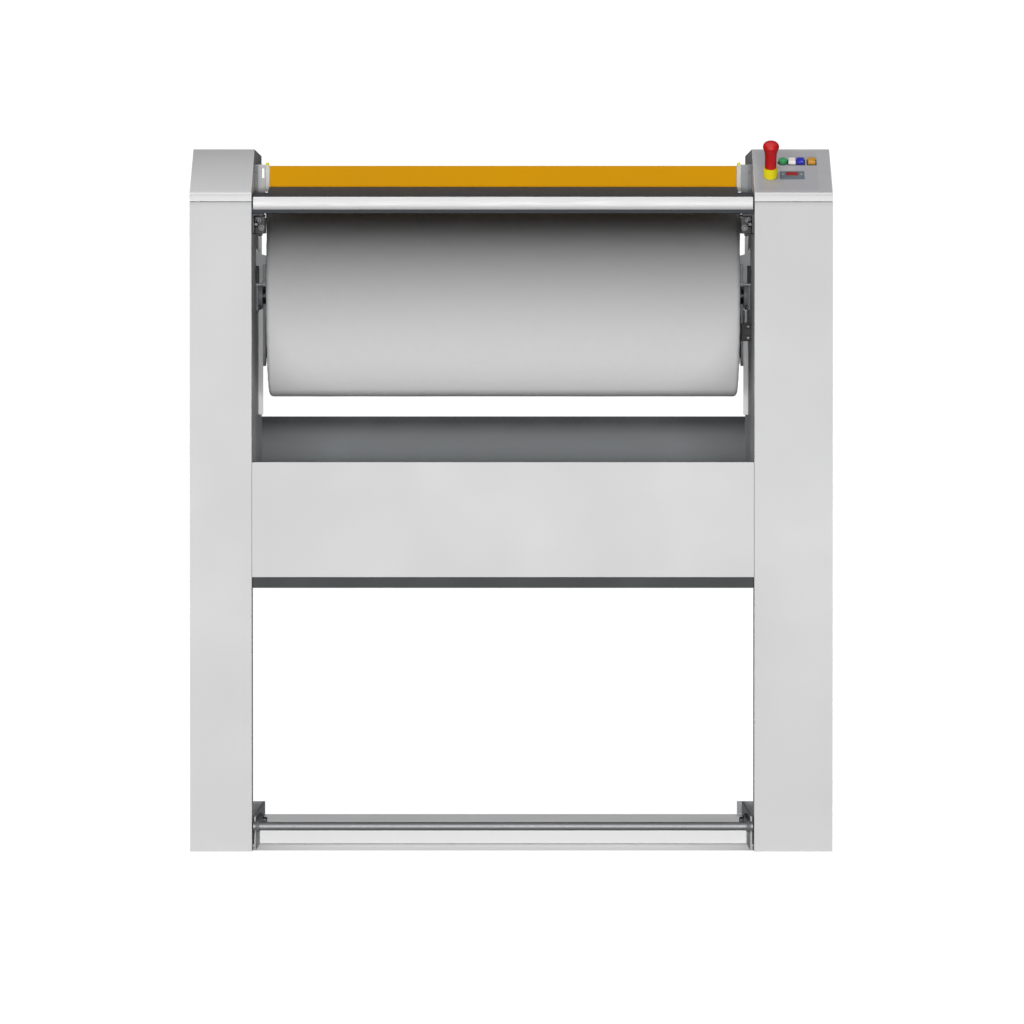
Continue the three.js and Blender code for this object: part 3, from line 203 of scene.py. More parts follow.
COVER_PAINT = powder_coat("light grey powder coat on steel", 0xCBCBCC, joint_mm=1093)
# the caps' tone, a little darker than the covers', is painted shade on their slopes
CAP_PAINT = powder_coat("light grey powder coat on the caps", 0xC8C8C9, roughness=0.34)
PAN_PAINT = powder_coat("white powder coat on the base pan", 0xEAEAEA)
GUARD_PAINT = powder_coat("yellow powder coat on steel", 0xC88E00, roughness=0.6, gloss=0.05)
print("powder coats:", [m.name for m in (COVER_PAINT, CAP_PAINT, PAN_PAINT, GUARD_PAINT)])

# %% [markdown]
# ## Stove-enamelled dark steel
#
# The feed table, the tray, the brackets in the gaps and the motor wear a thin, darker enamel, and
# the foot shoes and chest arms a grey primer that behaves the same.
# It rubs through at the edges, where bare metal shines. The renderer can find an edge without any
# texture: the Bevel node gives the normal that a rounded edge would have, and where this differs
# from the true normal there is an edge. That difference, broken up with noise, mixes in the metal.
# In the tray the enamel is painted paler low on the rear wall and slightly darker at its top: painted light and
# shade.

# %% Dark enamel with worn edges
METAL_UNDERNEATH = 0xA9ABAC
WORN_WIDTH = 1.2  # how far the wear reaches from an edge, in mm
WEAR_PATCH, ENAMEL_CLOUD = 12, 70  # widths of the worn patches and of the clouds in the tone, in mm
PAINTED_LIGHT_DEPTH = (0.1, 0.2)  # where the painted light sets in towards the rear, from and to in metres


def dark_enamel(name, tone, roughness, worn=0.5, grain_mm=0.9, grain_depth_mm=0.02, gloss=0.5,
                clouds=0.1, painted_light_by_height=None):
    """Stove enamel that is rubbed off at the edges. The last argument is painted light and shade on the rear
    wall by height: (from height, to height, palest, darkest).
    """
    tree, shader, place = new_material(name, **{"IOR": 1.5, "Specular IOR Level": gloss})
    bevelled = add_node(
        tree, "ShaderNodeBevel", {"Radius": WORN_WIDTH * MM}, samples=4
    ).outputs["Normal"]
    true_normal = add_node(tree, "ShaderNodeNewGeometry").outputs["Normal"]
    agree = add_node(
        tree, "ShaderNodeVectorMath", {0: bevelled, 1: true_normal}, operation="DOT_PRODUCT"
    ).outputs["Value"]
    patches = add_node(
        tree, "ShaderNodeTexNoise", {"Vector": place, "Scale": 1 / (WEAR_PATCH * MM), "Detail": 6.0}
    ).outputs["Fac"]
    edge = add_node(
        tree, "ShaderNodeMapRange",
        {"Value": agree, "From Min": 0.995, "From Max": 0.9, "To Min": 0.0, "To Max": worn},
    ).outputs["Result"]
    rubbed = add_node(
        tree, "ShaderNodeMapRange",
        {"Value": patches, "From Min": 0.42, "From Max": 0.62, "To Min": 0.0, "To Max": 1.0},
    ).outputs["Result"]
    wear = add_node(tree, "ShaderNodeMath", {0: edge, 1: rubbed}, operation="MULTIPLY").outputs[0]
    cloudy = add_node(
        tree, "ShaderNodeTexNoise", {"Vector": place, "Scale": 1 / (ENAMEL_CLOUD * MM), "Detail": 4.0}
    ).outputs["Fac"]
    shift = add_node(
        tree, "ShaderNodeMapRange",
        {"Value": cloudy, "From Min": 0.3, "From Max": 0.7, "To Min": 1 - clouds, "To Max": 1 + clouds},
    ).outputs["Result"]
    tinted = add_node(
        tree, "ShaderNodeVectorMath", {0: colour(tone)[:3], 1: shift}, operation="MULTIPLY"
    ).outputs["Vector"]
    # painted light and shade: paler low on the rear wall, darker at its top
    if painted_light_by_height:
        low, high, palest, darkest = painted_light_by_height
        at = add_node(tree, "ShaderNodeSeparateXYZ", {"Vector": place}).outputs
        by_height = add_node(
            tree, "ShaderNodeMapRange",
            {"Value": at["Z"], "From Min": low * MM, "From Max": high * MM,
             "To Min": palest, "To Max": darkest},
        ).outputs["Result"]
        painted_light = add_node(
            tree, "ShaderNodeMapRange",
            {"Value": at["Y"], "From Min": PAINTED_LIGHT_DEPTH[0], "From Max": PAINTED_LIGHT_DEPTH[1],
             "To Min": 1.0, "To Max": by_height},
        ).outputs["Result"]
        tinted = add_node(
            tree, "ShaderNodeVectorMath", {0: tinted, 1: painted_light}, operation="MULTIPLY"
        ).outputs["Vector"]
    mixed = add_node(
        tree, "ShaderNodeMix", {0: wear, 6: tinted, 7: colour(METAL_UNDERNEATH)}, data_type="RGBA"
    ).outputs[2]
    tree.links.new(mixed, shader.inputs["Base Color"])
    tree.links.new(wear, shader.inputs["Metallic"])
    sheen = add_node(
        tree, "ShaderNodeMapRange",
        {"Value": cloudy, "From Min": 0.3, "From Max": 0.7,
         "To Min": roughness - 0.07, "To Max": roughness + 0.07},
    ).outputs["Result"]
    tree.links.new(sheen, shader.inputs["Roughness"])
    grain = add_node(
        tree, "ShaderNodeTexNoise", {"Vector": place, "Scale": 1 / (grain_mm * MM), "Detail": 2.0}
    ).outputs["Fac"]
    bump = add_node(
        tree, "ShaderNodeBump", {"Height": grain, "Strength": 1.0, "Distance": grain_depth_mm * MM}
    )
    tree.links.new(bump.outputs["Normal"], shader.inputs["Normal"])
    return named(name)


DARK_STEEL = dark_enamel("dark enamelled steel", 0x66686A, roughness=0.5)
TRAY_ENAMEL = dark_enamel(
    "linty enamelled steel in the tray", 0x484A4B, roughness=0.6, gloss=0.2,
    clouds=0.04, painted_light_by_height=(660, 722, 6.0, 0.8),
)
GAP_BLACK = dark_enamel("black enamel in the gaps", 0x303032, roughness=0.55, worn=0.3)
SHOE_PRIMER = dark_enamel("grey primer on steel", 0xA2A4A6, roughness=0.6)
# a darker grey used as painted shade: the right guard bracket and the angles before both brackets
PAINTED_SHADE_GREY = dark_enamel("mid grey enamelled steel", 0x8C8E90, roughness=0.6)
TABLE_PAINT = dark_enamel(
    "charcoal enamel on the feed table", 0x3D4146, roughness=0.65, worn=0.25, gloss=0.2
)
CAST_IRON = dark_enamel(
    "grey enamelled cast iron", 0x747678, roughness=0.55, grain_mm=1.6, grain_depth_mm=0.12
)
MOTOR_PAINT = dark_enamel(
    "grey-blue motor enamel", 0x5F6A73, roughness=0.4, grain_mm=3.0, grain_depth_mm=0.1
)
print("enamels:", [m.name for m in bpy.data.materials if "enamel" in m.name])

# %% [markdown]
# ## Bare metals
#
# Brushed stainless steel (the table's front edge) has fine scratches in one direction. Stretching
# a noise along that direction gives them: the pattern is squeezed by a large scale across the
# grain and a small one along it. The foot bar was ground while it turned, so its scratches run
# round it. Zinc plating (frames, rods, drum) is duller and shows faint crystals under a centimetre
# wide. The roll's shaft and the bolts in the gaps are blackened instead, which keeps them dark but
# glossy. The chest's face is polished aluminium. All of these are metals, so the base colour is
# what they reflect, and the IOR stays as it is.

# %% Metals with a grain direction


def bare_metal(name, tone, roughness, scratch_mm=(60, 0.5, 0.5), depth_mm=0.006,
               patch_mm=120, patch=0.05):
    """Metal with scratches of a size along X, Y and Z, and patches that are lighter and darker."""
    tree, shader, place = new_material(name, **{"Metallic": 1.0})
    squeeze = add_node(
        tree, "ShaderNodeVectorMath",
        {0: place, 1: tuple(1 / (size * MM) for size in scratch_mm)}, operation="MULTIPLY",
    ).outputs["Vector"]
    scratches = add_node(
        tree, "ShaderNodeTexNoise", {"Vector": squeeze, "Scale": 1.0, "Detail": 4.0}
    ).outputs["Fac"]
    patches = add_node(
        tree, "ShaderNodeTexVoronoi", {"Vector": place, "Scale": 1 / (patch_mm * MM)}, feature="SMOOTH_F1"
    ).outputs["Distance"]
    shift = add_node(
        tree, "ShaderNodeMapRange",
        {"Value": patches, "From Min": 0.0, "From Max": 0.8, "To Min": 1 + patch, "To Max": 1 - patch},
    ).outputs["Result"]
    tinted = add_node(
        tree, "ShaderNodeVectorMath", {0: colour(tone)[:3], 1: shift}, operation="MULTIPLY"
    ).outputs["Vector"]
    tree.links.new(tinted, shader.inputs["Base Color"])
    sheen = add_node(
        tree, "ShaderNodeMapRange",
        {"Value": scratches, "From Min": 0.3, "From Max": 0.7,
         "To Min": roughness - 0.06, "To Max": roughness + 0.08},
    ).outputs["Result"]
    tree.links.new(sheen, shader.inputs["Roughness"])
    bump = add_node(
        tree, "ShaderNodeBump", {"Height": scratches, "Strength": 1.0, "Distance": depth_mm * MM}
    )
    tree.links.new(bump.outputs["Normal"], shader.inputs["Normal"])
    return named(name)


STAINLESS = bare_metal("brushed stainless steel", 0xD6D6D6, 0.67, depth_mm=0.001, patch=0.02)
GROUND_BAR = bare_metal("ground steel bar", 0xA8AAAC, 0.6, scratch_mm=(0.5, 20, 20), depth_mm=0.001)
ZINC = bare_metal("zinc-plated steel", 0xB6B9BB, 0.5, scratch_mm=(3, 3, 3), depth_mm=0.003, patch_mm=7)
FASTENER = bare_metal("zinc-plated fastener", 0xBFC2C4, 0.35, scratch_mm=(1, 1, 1), patch_mm=6, patch=0.08)
BLACK_OXIDE = bare_metal("black oxide fastener", 0x4A4A4C, 0.4, scratch_mm=(1, 1, 1), patch_mm=6, patch=0.1)
ALUMINIUM = bare_metal("polished aluminium", 0xE0E1E2, 0.22, scratch_mm=(90, 0.6, 0.6))
print("metals:", [m.name for m in (STAINLESS, GROUND_BAR, ZINC, FASTENER, BLACK_OXIDE, ALUMINIUM)])

# %% [markdown]
# ## Roll cloth and felt
#
# The roll wears a heat-proof woven cloth over felt. Its threads lie about one millimetre apart,
# which is finer than a pixel from ten metres, so the weave is drawn at 1.6 mm: it then shows in a
# close view and melts into a soft, dull surface in the main one. A weave could be unwrapped with
# UVs. Here the shader bends the coordinates round the roll itself: one thread set runs along X, the
# other along the arc, which is the angle times the radius. Each set gives a sine wave, and their
# product is the over-and-under of a plain weave. The felt below is needled, not woven, and the
# cloth hides it, so it takes the same recipe, coarser and duller. The seam's thread shares it.

# %% Woven cloth round an axis along X
roll_low, roll_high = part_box("roll_cover")
ROLL_AXIS = Vector((0, (roll_low.y + roll_high.y) / 2, (roll_low.z + roll_high.z) / 2))
ROLL_RADIUS = (roll_high.z - roll_low.z) / 2
print("roll axis", ROLL_AXIS, "radius", round(ROLL_RADIUS, 4), "from", roll_low.x, "to", roll_high.x)


SLUB = 12  # width in mm of the uneven places in the yarn


def woven_round_the_roll(name, tone, dark_tone, thread_mm, depth_mm, roughness):
    """Plain weave whose threads run along the roll and round it; the darker tone between them is painted shade.
    """
    tree, shader, place = new_material(name, **{"Sheen Weight": 0.04, "Sheen Roughness": 0.6, "IOR": 1.3})
    at = add_node(tree, "ShaderNodeSeparateXYZ", {"Vector": place}).outputs
    y = add_node(tree, "ShaderNodeMath", {0: at["Y"], 1: ROLL_AXIS.y}, operation="SUBTRACT").outputs[0]
    z = add_node(tree, "ShaderNodeMath", {0: at["Z"], 1: ROLL_AXIS.z}, operation="SUBTRACT").outputs[0]
    angle = add_node(tree, "ShaderNodeMath", {0: z, 1: y}, operation="ARCTAN2").outputs[0]
    per_metre = 2 * math.pi / (2 * thread_mm * MM)
    per_radian = float(round(ROLL_RADIUS * per_metre))
    waves = []
    for along, pace in ((at["X"], per_metre), (angle, per_radian)):
        phase = add_node(tree, "ShaderNodeMath", {0: along, 1: pace}, operation="MULTIPLY").outputs[0]
        waves.append(add_node(tree, "ShaderNodeMath", {0: phase}, operation="SINE").outputs[0])
    crossing = add_node(
        tree, "ShaderNodeMath", {0: waves[0], 1: waves[1]}, operation="MULTIPLY"
    ).outputs[0]
    height = add_node(
        tree, "ShaderNodeMapRange",
        {"Value": crossing, "From Min": -1.0, "From Max": 1.0, "To Min": 0.0, "To Max": 1.0},
    ).outputs["Result"]
    slub = add_node(
        tree, "ShaderNodeTexNoise", {"Vector": place, "Scale": 1 / (SLUB * MM), "Detail": 5.0}
    ).outputs["Fac"]
    shade = add_node(
        tree, "ShaderNodeMapRange",
        {"Value": slub, "From Min": 0.3, "From Max": 0.7, "To Min": 0.0, "To Max": 0.12},
    ).outputs["Result"]
    # painted shade: the low places between the threads darken towards the darker tone
    shade_in_gaps = add_node(
        tree, "ShaderNodeMapRange",
        {"Value": height, "From Min": 0.0, "From Max": 0.5, "To Min": 0.35, "To Max": 0.0},
    ).outputs["Result"]
    darkness = add_node(tree, "ShaderNodeMath", {0: shade, 1: shade_in_gaps}, operation="ADD").outputs[0]
    mixed = add_node(
        tree, "ShaderNodeMix", {0: darkness, 6: colour(tone), 7: colour(dark_tone)}, data_type="RGBA"
    ).outputs[2]
    tree.links.new(mixed, shader.inputs["Base Color"])
    fuzz = add_node(
        tree, "ShaderNodeMapRange",
        {"Value": slub, "From Min": 0.3, "From Max": 0.7,
         "To Min": roughness - 0.06, "To Max": roughness},
    ).outputs["Result"]
    tree.links.new(fuzz, shader.inputs["Roughness"])
    bump = add_node(
        tree, "ShaderNodeBump", {"Height": height, "Strength": 1.0, "Distance": depth_mm * MM}
    )
    tree.links.new(bump.outputs["Normal"], shader.inputs["Normal"])
    return named(name)


ROLL_CLOTH = woven_round_the_roll("woven roll cloth", 0xCFCFCF, 0xBDBDBC, 1.6, 0.12, 0.9)
ROLL_FELT = woven_round_the_roll("needled wool felt", 0xE2DFD6, 0xCFCABD, 2.4, 0.3, 0.98)
print("cloth and felt:", ROLL_CLOTH.name, "and", ROLL_FELT.name)

# %% [markdown]
# ## Plastics and rubber
#
# The stop button, the push buttons and the small caps are injection-moulded plastic: one even
# colour, a fine spark-eroded texture from the mould, and a soft gloss. The overlay under them is
# a satin printed sheet, and the display's window is cast acrylic. The belt and the feet are black
# rubber, dull and slightly dusty. One recipe serves them all: a noise for the mould's texture
# drives the bump and a little of the gloss, and a second, larger one is the dust or fading.

# %% Moulded plastic and rubber
FADED_PATCH = 20  # width in mm of the patches that are faded or dusty


def moulded(name, tone, roughness, texture_mm=0.6, depth_mm=0.01, fade=0.06, coat=0.0):
    """Plastic or rubber with its mould's texture. coat is a glossy skin, 0 to 1."""
    tree, shader, place = new_material(name, **{"IOR": 1.5, "Coat Weight": coat, "Coat Roughness": 0.15})
    faded = add_node(
        tree, "ShaderNodeTexNoise", {"Vector": place, "Scale": 1 / (FADED_PATCH * MM), "Detail": 4.0}
    ).outputs["Fac"]
    shift = add_node(
        tree, "ShaderNodeMapRange",
        {"Value": faded, "From Min": 0.3, "From Max": 0.7, "To Min": 1 - fade, "To Max": 1 + fade},
    ).outputs["Result"]
    tinted = add_node(
        tree, "ShaderNodeVectorMath", {0: colour(tone)[:3], 1: shift}, operation="MULTIPLY"
    ).outputs["Vector"]
    tree.links.new(tinted, shader.inputs["Base Color"])
    spark = add_node(
        tree, "ShaderNodeTexNoise", {"Vector": place, "Scale": 1 / (texture_mm * MM), "Detail": 2.0}
    ).outputs["Fac"]
    gloss = add_node(
        tree, "ShaderNodeMapRange",
        {"Value": spark, "From Min": 0.3, "From Max": 0.7,
         "To Min": roughness - 0.04, "To Max": roughness + 0.04},
    ).outputs["Result"]
    tree.links.new(gloss, shader.inputs["Roughness"])
    bump = add_node(
        tree, "ShaderNodeBump", {"Height": spark, "Strength": 1.0, "Distance": depth_mm * MM}
    )
    tree.links.new(bump.outputs["Normal"], shader.inputs["Normal"])
    return named(name)


STOP_RED = moulded("red moulded ABS", 0xBE0608, 0.5, fade=0.03)
STOP_YELLOW = moulded("yellow moulded ABS", 0xE2D400, 0.6, fade=0.03)
POST_PLASTIC = moulded("ivory moulded nylon", 0xB6B6B0, 0.5)
CAP_PLASTIC = moulded("lime moulded polyethylene", 0xD2CC1E, 0.45)
BUTTON_TONES = {"green": 0x2C9A55, "white": 0xE4DFDF, "blue": 0x1218AC, "amber": 0xC08A1C}
BUTTON_PLASTIC = {
    name: moulded(f"{name} moulded polycarbonate", tone, 0.3, coat=0.3)
    for name, tone in BUTTON_TONES.items()
}
DISPLAY_CASE = moulded("slate moulded ABS", 0x5F6973, 0.45)
BLACK_PLASTIC = moulded("black moulded ABS", 0x2E2E30, 0.5, texture_mm=0.9, depth_mm=0.02)
KEY_GREY = moulded("pale grey moulded ABS", 0x838A90, 0.5)
DISPLAY_GLASS = moulded("dark red acrylic", 0x8C120E, 0.3, coat=0.2)
DISPLAY_SEGMENT = moulded("red lacquered acrylic", 0xAC1C14, 0.3)
OVERLAY = moulded("satin polyester overlay", 0xA3A2A6, 0.4, texture_mm=0.5, fade=0.02)
PANEL_FOIL = moulded("satin polyester foil", 0xA9A9AC, 0.4, texture_mm=0.5, fade=0.02)
RUBBER = moulded("black rubber", 0x232323, 0.8, texture_mm=1.2, depth_mm=0.04, fade=0.25)
print("plastics:", len([m for m in bpy.data.materials if "moulded" in m.name]))

# %% [markdown]
# ## Every CAD node gets its real finish
#
# A table says which finish each node wears. The CAD edges are mathematically sharp, which no sheet
# or casting is, and sharp edges catch no light. Two modifiers fix that without touching the mesh:
# a small geometry-node group welds the triangles and smooths only the shallow angles, and a Bevel
# rounds the steep ones. Both stay live, so the CAD shape underneath is still exact.

# %% A node group that welds and smooths shallow angles
SMOOTH_BELOW, ROUND_ABOVE = math.radians(32), math.radians(40)
smooth_group = bpy.data.node_groups.new("weld and smooth", "GeometryNodeTree")
smooth_group.interface.new_socket("Geometry", in_out="INPUT", socket_type="NodeSocketGeometry")
smooth_group.interface.new_socket("Geometry", in_out="OUTPUT", socket_type="NodeSocketGeometry")
group_in = add_node(smooth_group, "NodeGroupInput").outputs[0]
welded = add_node(
    smooth_group, "GeometryNodeMergeByDistance", {"Geometry": group_in, "Distance": 0.01 * MM}
).outputs["Geometry"]
edge_angle = add_node(smooth_group, "GeometryNodeInputMeshEdgeAngle").outputs["Unsigned Angle"]
shallow = add_node(
    smooth_group, "FunctionNodeCompare", {"A": edge_angle, "B": SMOOTH_BELOW},
    data_type="FLOAT", operation="LESS_EQUAL",
).outputs["Result"]
all_smooth = add_node(
    smooth_group, "GeometryNodeSetShadeSmooth", {"Geometry": welded, "Shade Smooth": True}, domain="FACE"
).outputs["Geometry"]
edge_smooth = add_node(
    smooth_group, "GeometryNodeSetShadeSmooth",
    {"Geometry": all_smooth, "Shade Smooth": shallow}, domain="EDGE",
).outputs["Geometry"]
add_node(smooth_group, "NodeGroupOutput", {"Geometry": edge_smooth})


def soften(obj, radius_mm, segments=2):
    """Welds and smooths an object, and rounds its steep edges by a radius in mm, if it isn't 0."""
    smooth = obj.modifiers.new("weld and smooth", "NODES")
    smooth.node_group = smooth_group
    if radius_mm:
        bevel = obj.modifiers.new("rounded edges", "BEVEL")
        bevel.width = radius_mm * MM
        bevel.segments = segments
        bevel.limit_method = "ANGLE"
        bevel.angle_limit = ROUND_ABOVE
        bevel.harden_normals = True


print("angles in degrees:", [round(math.degrees(angle)) for angle in (SMOOTH_BELOW, ROUND_ABOVE)])


# %% Finish and edge radius of each node
SIDES = ("left", "right")
finishes = {
    "base_pan": (PAN_PAINT, 0.8), "base_tie_bar": (DARK_STEEL, 0.8),
    "tray_front_panel": (COVER_PAINT, 0.8), "tray_pan": (TRAY_ENAMEL, 0.8),
    "feed_table": (TABLE_PAINT, 0.9), "feed_table_edge": (STAINLESS, 0.5),
    "finger_guard": (GUARD_PAINT, 0.8), "roll_drum": (ZINC, 0), "roll_shaft": (BLACK_OXIDE, 0.8),
    "roll_pulley": (CAST_IRON, 0.5), "motor_pulley": (CAST_IRON, 0.5), "drive_belt": (RUBBER, 0.5),
    "gear_motor": (MOTOR_PAINT, 1.2), "ironing_plate": (ALUMINIUM, 0.6), "chest_cover": (ZINC, 0.3),
    "heater_element_lower": (DARK_STEEL, 0), "heater_element_upper": (DARK_STEEL, 0),
    "foot_bar": (GROUND_BAR, 0.8), "limit_switch": (BLACK_PLASTIC, 1.0),
    "electrical_box": (BLACK_PLASTIC, 1.2), "cable_gland": (BLACK_PLASTIC, 0.4),
    "e_stop_base": (STOP_YELLOW, 0.8), "e_stop_head": (STOP_RED, 0),
    "display_module": (DISPLAY_CASE, 0.5),
    "roll_cover": (ROLL_CLOTH, 0), "roll_padding": (ROLL_FELT, 0),
}
for name, plastic in BUTTON_PLASTIC.items():
    finishes[f"button_{name}"] = (plastic, 0.9)
for side in SIDES:
    finishes.update({
        f"front_cover_{side}": (COVER_PAINT, 0.9), f"outer_cover_{side}": (COVER_PAINT, 0.9),
        f"inner_cover_{side}": (COVER_PAINT, 0.8), f"top_cap_{side}": (CAP_PAINT, 0.9),
        f"side_frame_{side}": (ZINC, 0.8), f"foot_shoe_{side}": (SHOE_PRIMER, 0.8),
        f"feed_bracket_{side}": (GAP_BLACK, 0.8), f"guard_post_{side}": (POST_PLASTIC, 0.8),
        # the right guard bracket wears a darker grey than the left: painted shade
        f"guard_bracket_{side}": (COVER_PAINT if side == "left" else PAINTED_SHADE_GREY, 0.6),
        f"bearing_{side}": (CAST_IRON, 0.8), f"pedal_arm_{side}": (DARK_STEEL, 0.6),
        f"pull_rod_{side}": (ZINC, 0.6),
        f"chest_arm_{side}": (SHOE_PRIMER, 0.6), f"levelling_foot_{side}_front": (RUBBER, 0.6),
        f"levelling_foot_{side}_rear": (RUBBER, 0.6),
    })
for name, (material, radius) in finishes.items():
    node = nodes[name]
    node.data.materials.clear()
    node.data.materials.append(material)
    soften(node, radius)
print("finished", len(finishes), "of", len(nodes), "nodes; left:", sorted(set(nodes) - set(finishes)))

# %% [markdown]
# ## Small helpers for turned parts and blocks
#
# Everything that follows is built in millimetres and placed by a matrix. Bolts, buttons and knobs
# are turned parts: a profile of radius and height swept round an axis. If one ring of the profile
# is a hexagon and the next a circle, the same helper makes a hex head with its chamfer, or a
# socket. A cone or cylinder primitive could do it too, but would need a boolean for each socket.

# %% Turned part, block, and the object that holds them
TO_METRES = Matrix.Scale(MM, 4)
ROUND, HEX = "round", "hex"


def standing_at(x, y, z, toward):
    """Places a small part at a point in mm, its own Z pointing toward a direction."""
    turn = Vector(toward).to_track_quat("Z", "Y").to_matrix().to_4x4()
    return Matrix.Translation(Vector((x, y, z)) * MM) @ turn @ TO_METRES


def add_turned(bm, profile, place, facets=24):
    """Adds a closed part turned from rings of (radius, height, shape), shape being ROUND or HEX."""
    rings = []
    for radius, height, shape in profile:
        ring = []
        for step in range(facets):
            angle = 2 * math.pi * step / facets
            flat = math.cos((angle + math.pi / 6) % (math.pi / 3) - math.pi / 6) if shape == HEX else 1
            x, y = math.cos(angle) * radius / flat, math.sin(angle) * radius / flat
            ring.append(bm.verts.new(place @ Vector((x, y, height))))
        rings.append(ring)
    for lower, upper in zip(rings, rings[1:]):
        for i in range(facets):
            bm.faces.new((lower[i - 1], lower[i], upper[i], upper[i - 1]))
    bm.faces.new(rings[0][::-1])
    bm.faces.new(rings[-1])


def add_block(bm, low, high, place=TO_METRES):
    """Adds a block between two corners in mm."""
    low, high = Vector(low), Vector(high)
    size = Matrix.Diagonal((*(high - low), 1))
    bmesh.ops.create_cube(bm, size=1, matrix=place @ Matrix.Translation((low + high) / 2) @ size)


def make_piece(name, bm, material, body, edge_mm=0.0):
    """Turns a bmesh into a named piece that rides on a body."""
    bmesh.ops.recalc_face_normals(bm, faces=bm.faces)
    mesh = bpy.data.meshes.new(name)
    bm.to_mesh(mesh)
    bm.free()
    mesh.materials.append(material)
    made = bpy.data.objects.new(name, mesh)
    bpy.context.scene.collection.objects.link(made)
    soften(made, edge_mm)
    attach(made, body)
    return made


print("helpers: add_turned, add_block, make_piece")

# %% Places beside a column, counted from its inner face
COLUMN_FACE = {"left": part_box("front_cover_left")[1].x / MM, "right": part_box("front_cover_right")[0].x / MM}
INWARD = {"left": 1, "right": -1}


def in_opening(side, distance):
    """The X in mm that lies a distance from a column's inner face, towards the roll."""
    return COLUMN_FACE[side] + INWARD[side] * distance


def across(side, nearest, furthest):
    """The lower and the higher X in mm of something between two such distances."""
    return sorted((in_opening(side, nearest), in_opening(side, furthest)))


print("inner faces of the columns at x =", COLUMN_FACE)

# %% [markdown]
# ## Roll felt and roll cloth
#
# The padding is a thick sleeve of needled felt. The cloth over it is pulled tight and turned in
# over both ends, where a draw tape gathers it into pleats. A cloth simulation would settle a
# loose cover, but a stretched one only follows the felt. So the cloth is computed: one outline
# from hem to hem, swept round the axis, with a gentle unevenness along the roll, pleats that grow
# towards the hem, and a lapped seam that stands a little proud. A Solidify modifier adds the
# cloth's thickness on the inner side.

# %% Felt sleeve
ROLL_FROM, ROLL_TO = roll_low.x / MM, roll_high.x / MM
ROLL_R = ROLL_RADIUS / MM
AXIS_Y, AXIS_Z = ROLL_AXIS.y / MM, ROLL_AXIS.z / MM
felt_low, felt_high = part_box("roll_padding")
FELT_OUTER = (felt_high.z - felt_low.z) / 2 / MM
FELT_THICKNESS = 11
FELT_INNER = FELT_OUTER - FELT_THICKNESS
FELT_STEPS, FELT_FACETS = 24, 96


def round_the_roll(radius, turn, x):
    """A point in metres at a radius and an angle round the roll's axis; 0 points to the rear."""
    return Vector((x, AXIS_Y + radius * math.cos(turn), AXIS_Z + radius * math.sin(turn))) * MM


def add_sleeve(bm, outline, facets, closed):
    """Sweeps an outline function of the angle, giving (radius, x) points, round the roll."""
    rows = []
    for step in range(facets):
        turn = 2 * math.pi * step / facets
        rows.append([bm.verts.new(round_the_roll(radius, turn, x)) for radius, x in outline(turn)])
    count = len(rows[0])
    for i in range(facets):
        for j in range(count if closed else count - 1):
            here, there = rows[i - 1], rows[i]
            bm.faces.new((here[j - 1 if closed else j], there[j - 1 if closed else j],
                          there[j if closed else j + 1], here[j if closed else j + 1]))


def felt_outline(turn):
    """The felt's section: along the drum, up its rounded end, back along the uneven top, and down."""
    low, high = felt_low.x / MM, felt_high.x / MM
    points = [(FELT_INNER, low + 2), (FELT_INNER, high - 2), (FELT_INNER + 3, high - 0.5)]
    points += [(FELT_OUTER - 4, high - 0.5), (FELT_OUTER - 0.6, high - 5)]
    for i in range(FELT_STEPS + 1):
        x = high - 12 + (low - high + 24) * i / FELT_STEPS
        wave = noise.noise(Vector((x / 45, 3 * math.cos(turn), 3 * math.sin(turn))))
        points.append((FELT_OUTER - 0.3 + 0.2 * wave, x))
    points += [(FELT_OUTER - 0.6, low + 5), (FELT_OUTER - 4, low + 0.5), (FELT_INNER + 3, low + 0.5)]
    return points


bm = bmesh.new()
add_sleeve(bm, felt_outline, FELT_FACETS, closed=True)
roll_felt = make_piece("roll_felt", bm, ROLL_FELT, "roll")
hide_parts("roll_padding")
print("felt from radius", round(FELT_INNER, 1), "to", round(FELT_OUTER, 1), "mm")

# %% Cloth with pleated turn-ins and a lapped seam
CORNER = 7  # radius of the bend over the roll's edge
TURN_IN = 30  # how far the cloth reaches down over the ends
PLEATS = 36
HEM_STEPS, CORNER_STEPS, LENGTH_STEPS, CLOTH_FACETS = 7, 8, 60, 288
SEAM_TURN = math.radians(-62)  # the seam rests low at the rear
SEAM_HALF, SEAM_PROUD, SEAM_FLANK = 9, 0.6, 3


def seam_rise(turn):
    """How far the lapped seam stands proud, in mm."""
    away = abs((turn - SEAM_TURN + math.pi) % (2 * math.pi) - math.pi) * ROLL_R
    return SEAM_PROUD * max(0.0, min(1.0, (SEAM_HALF - away) / SEAM_FLANK))


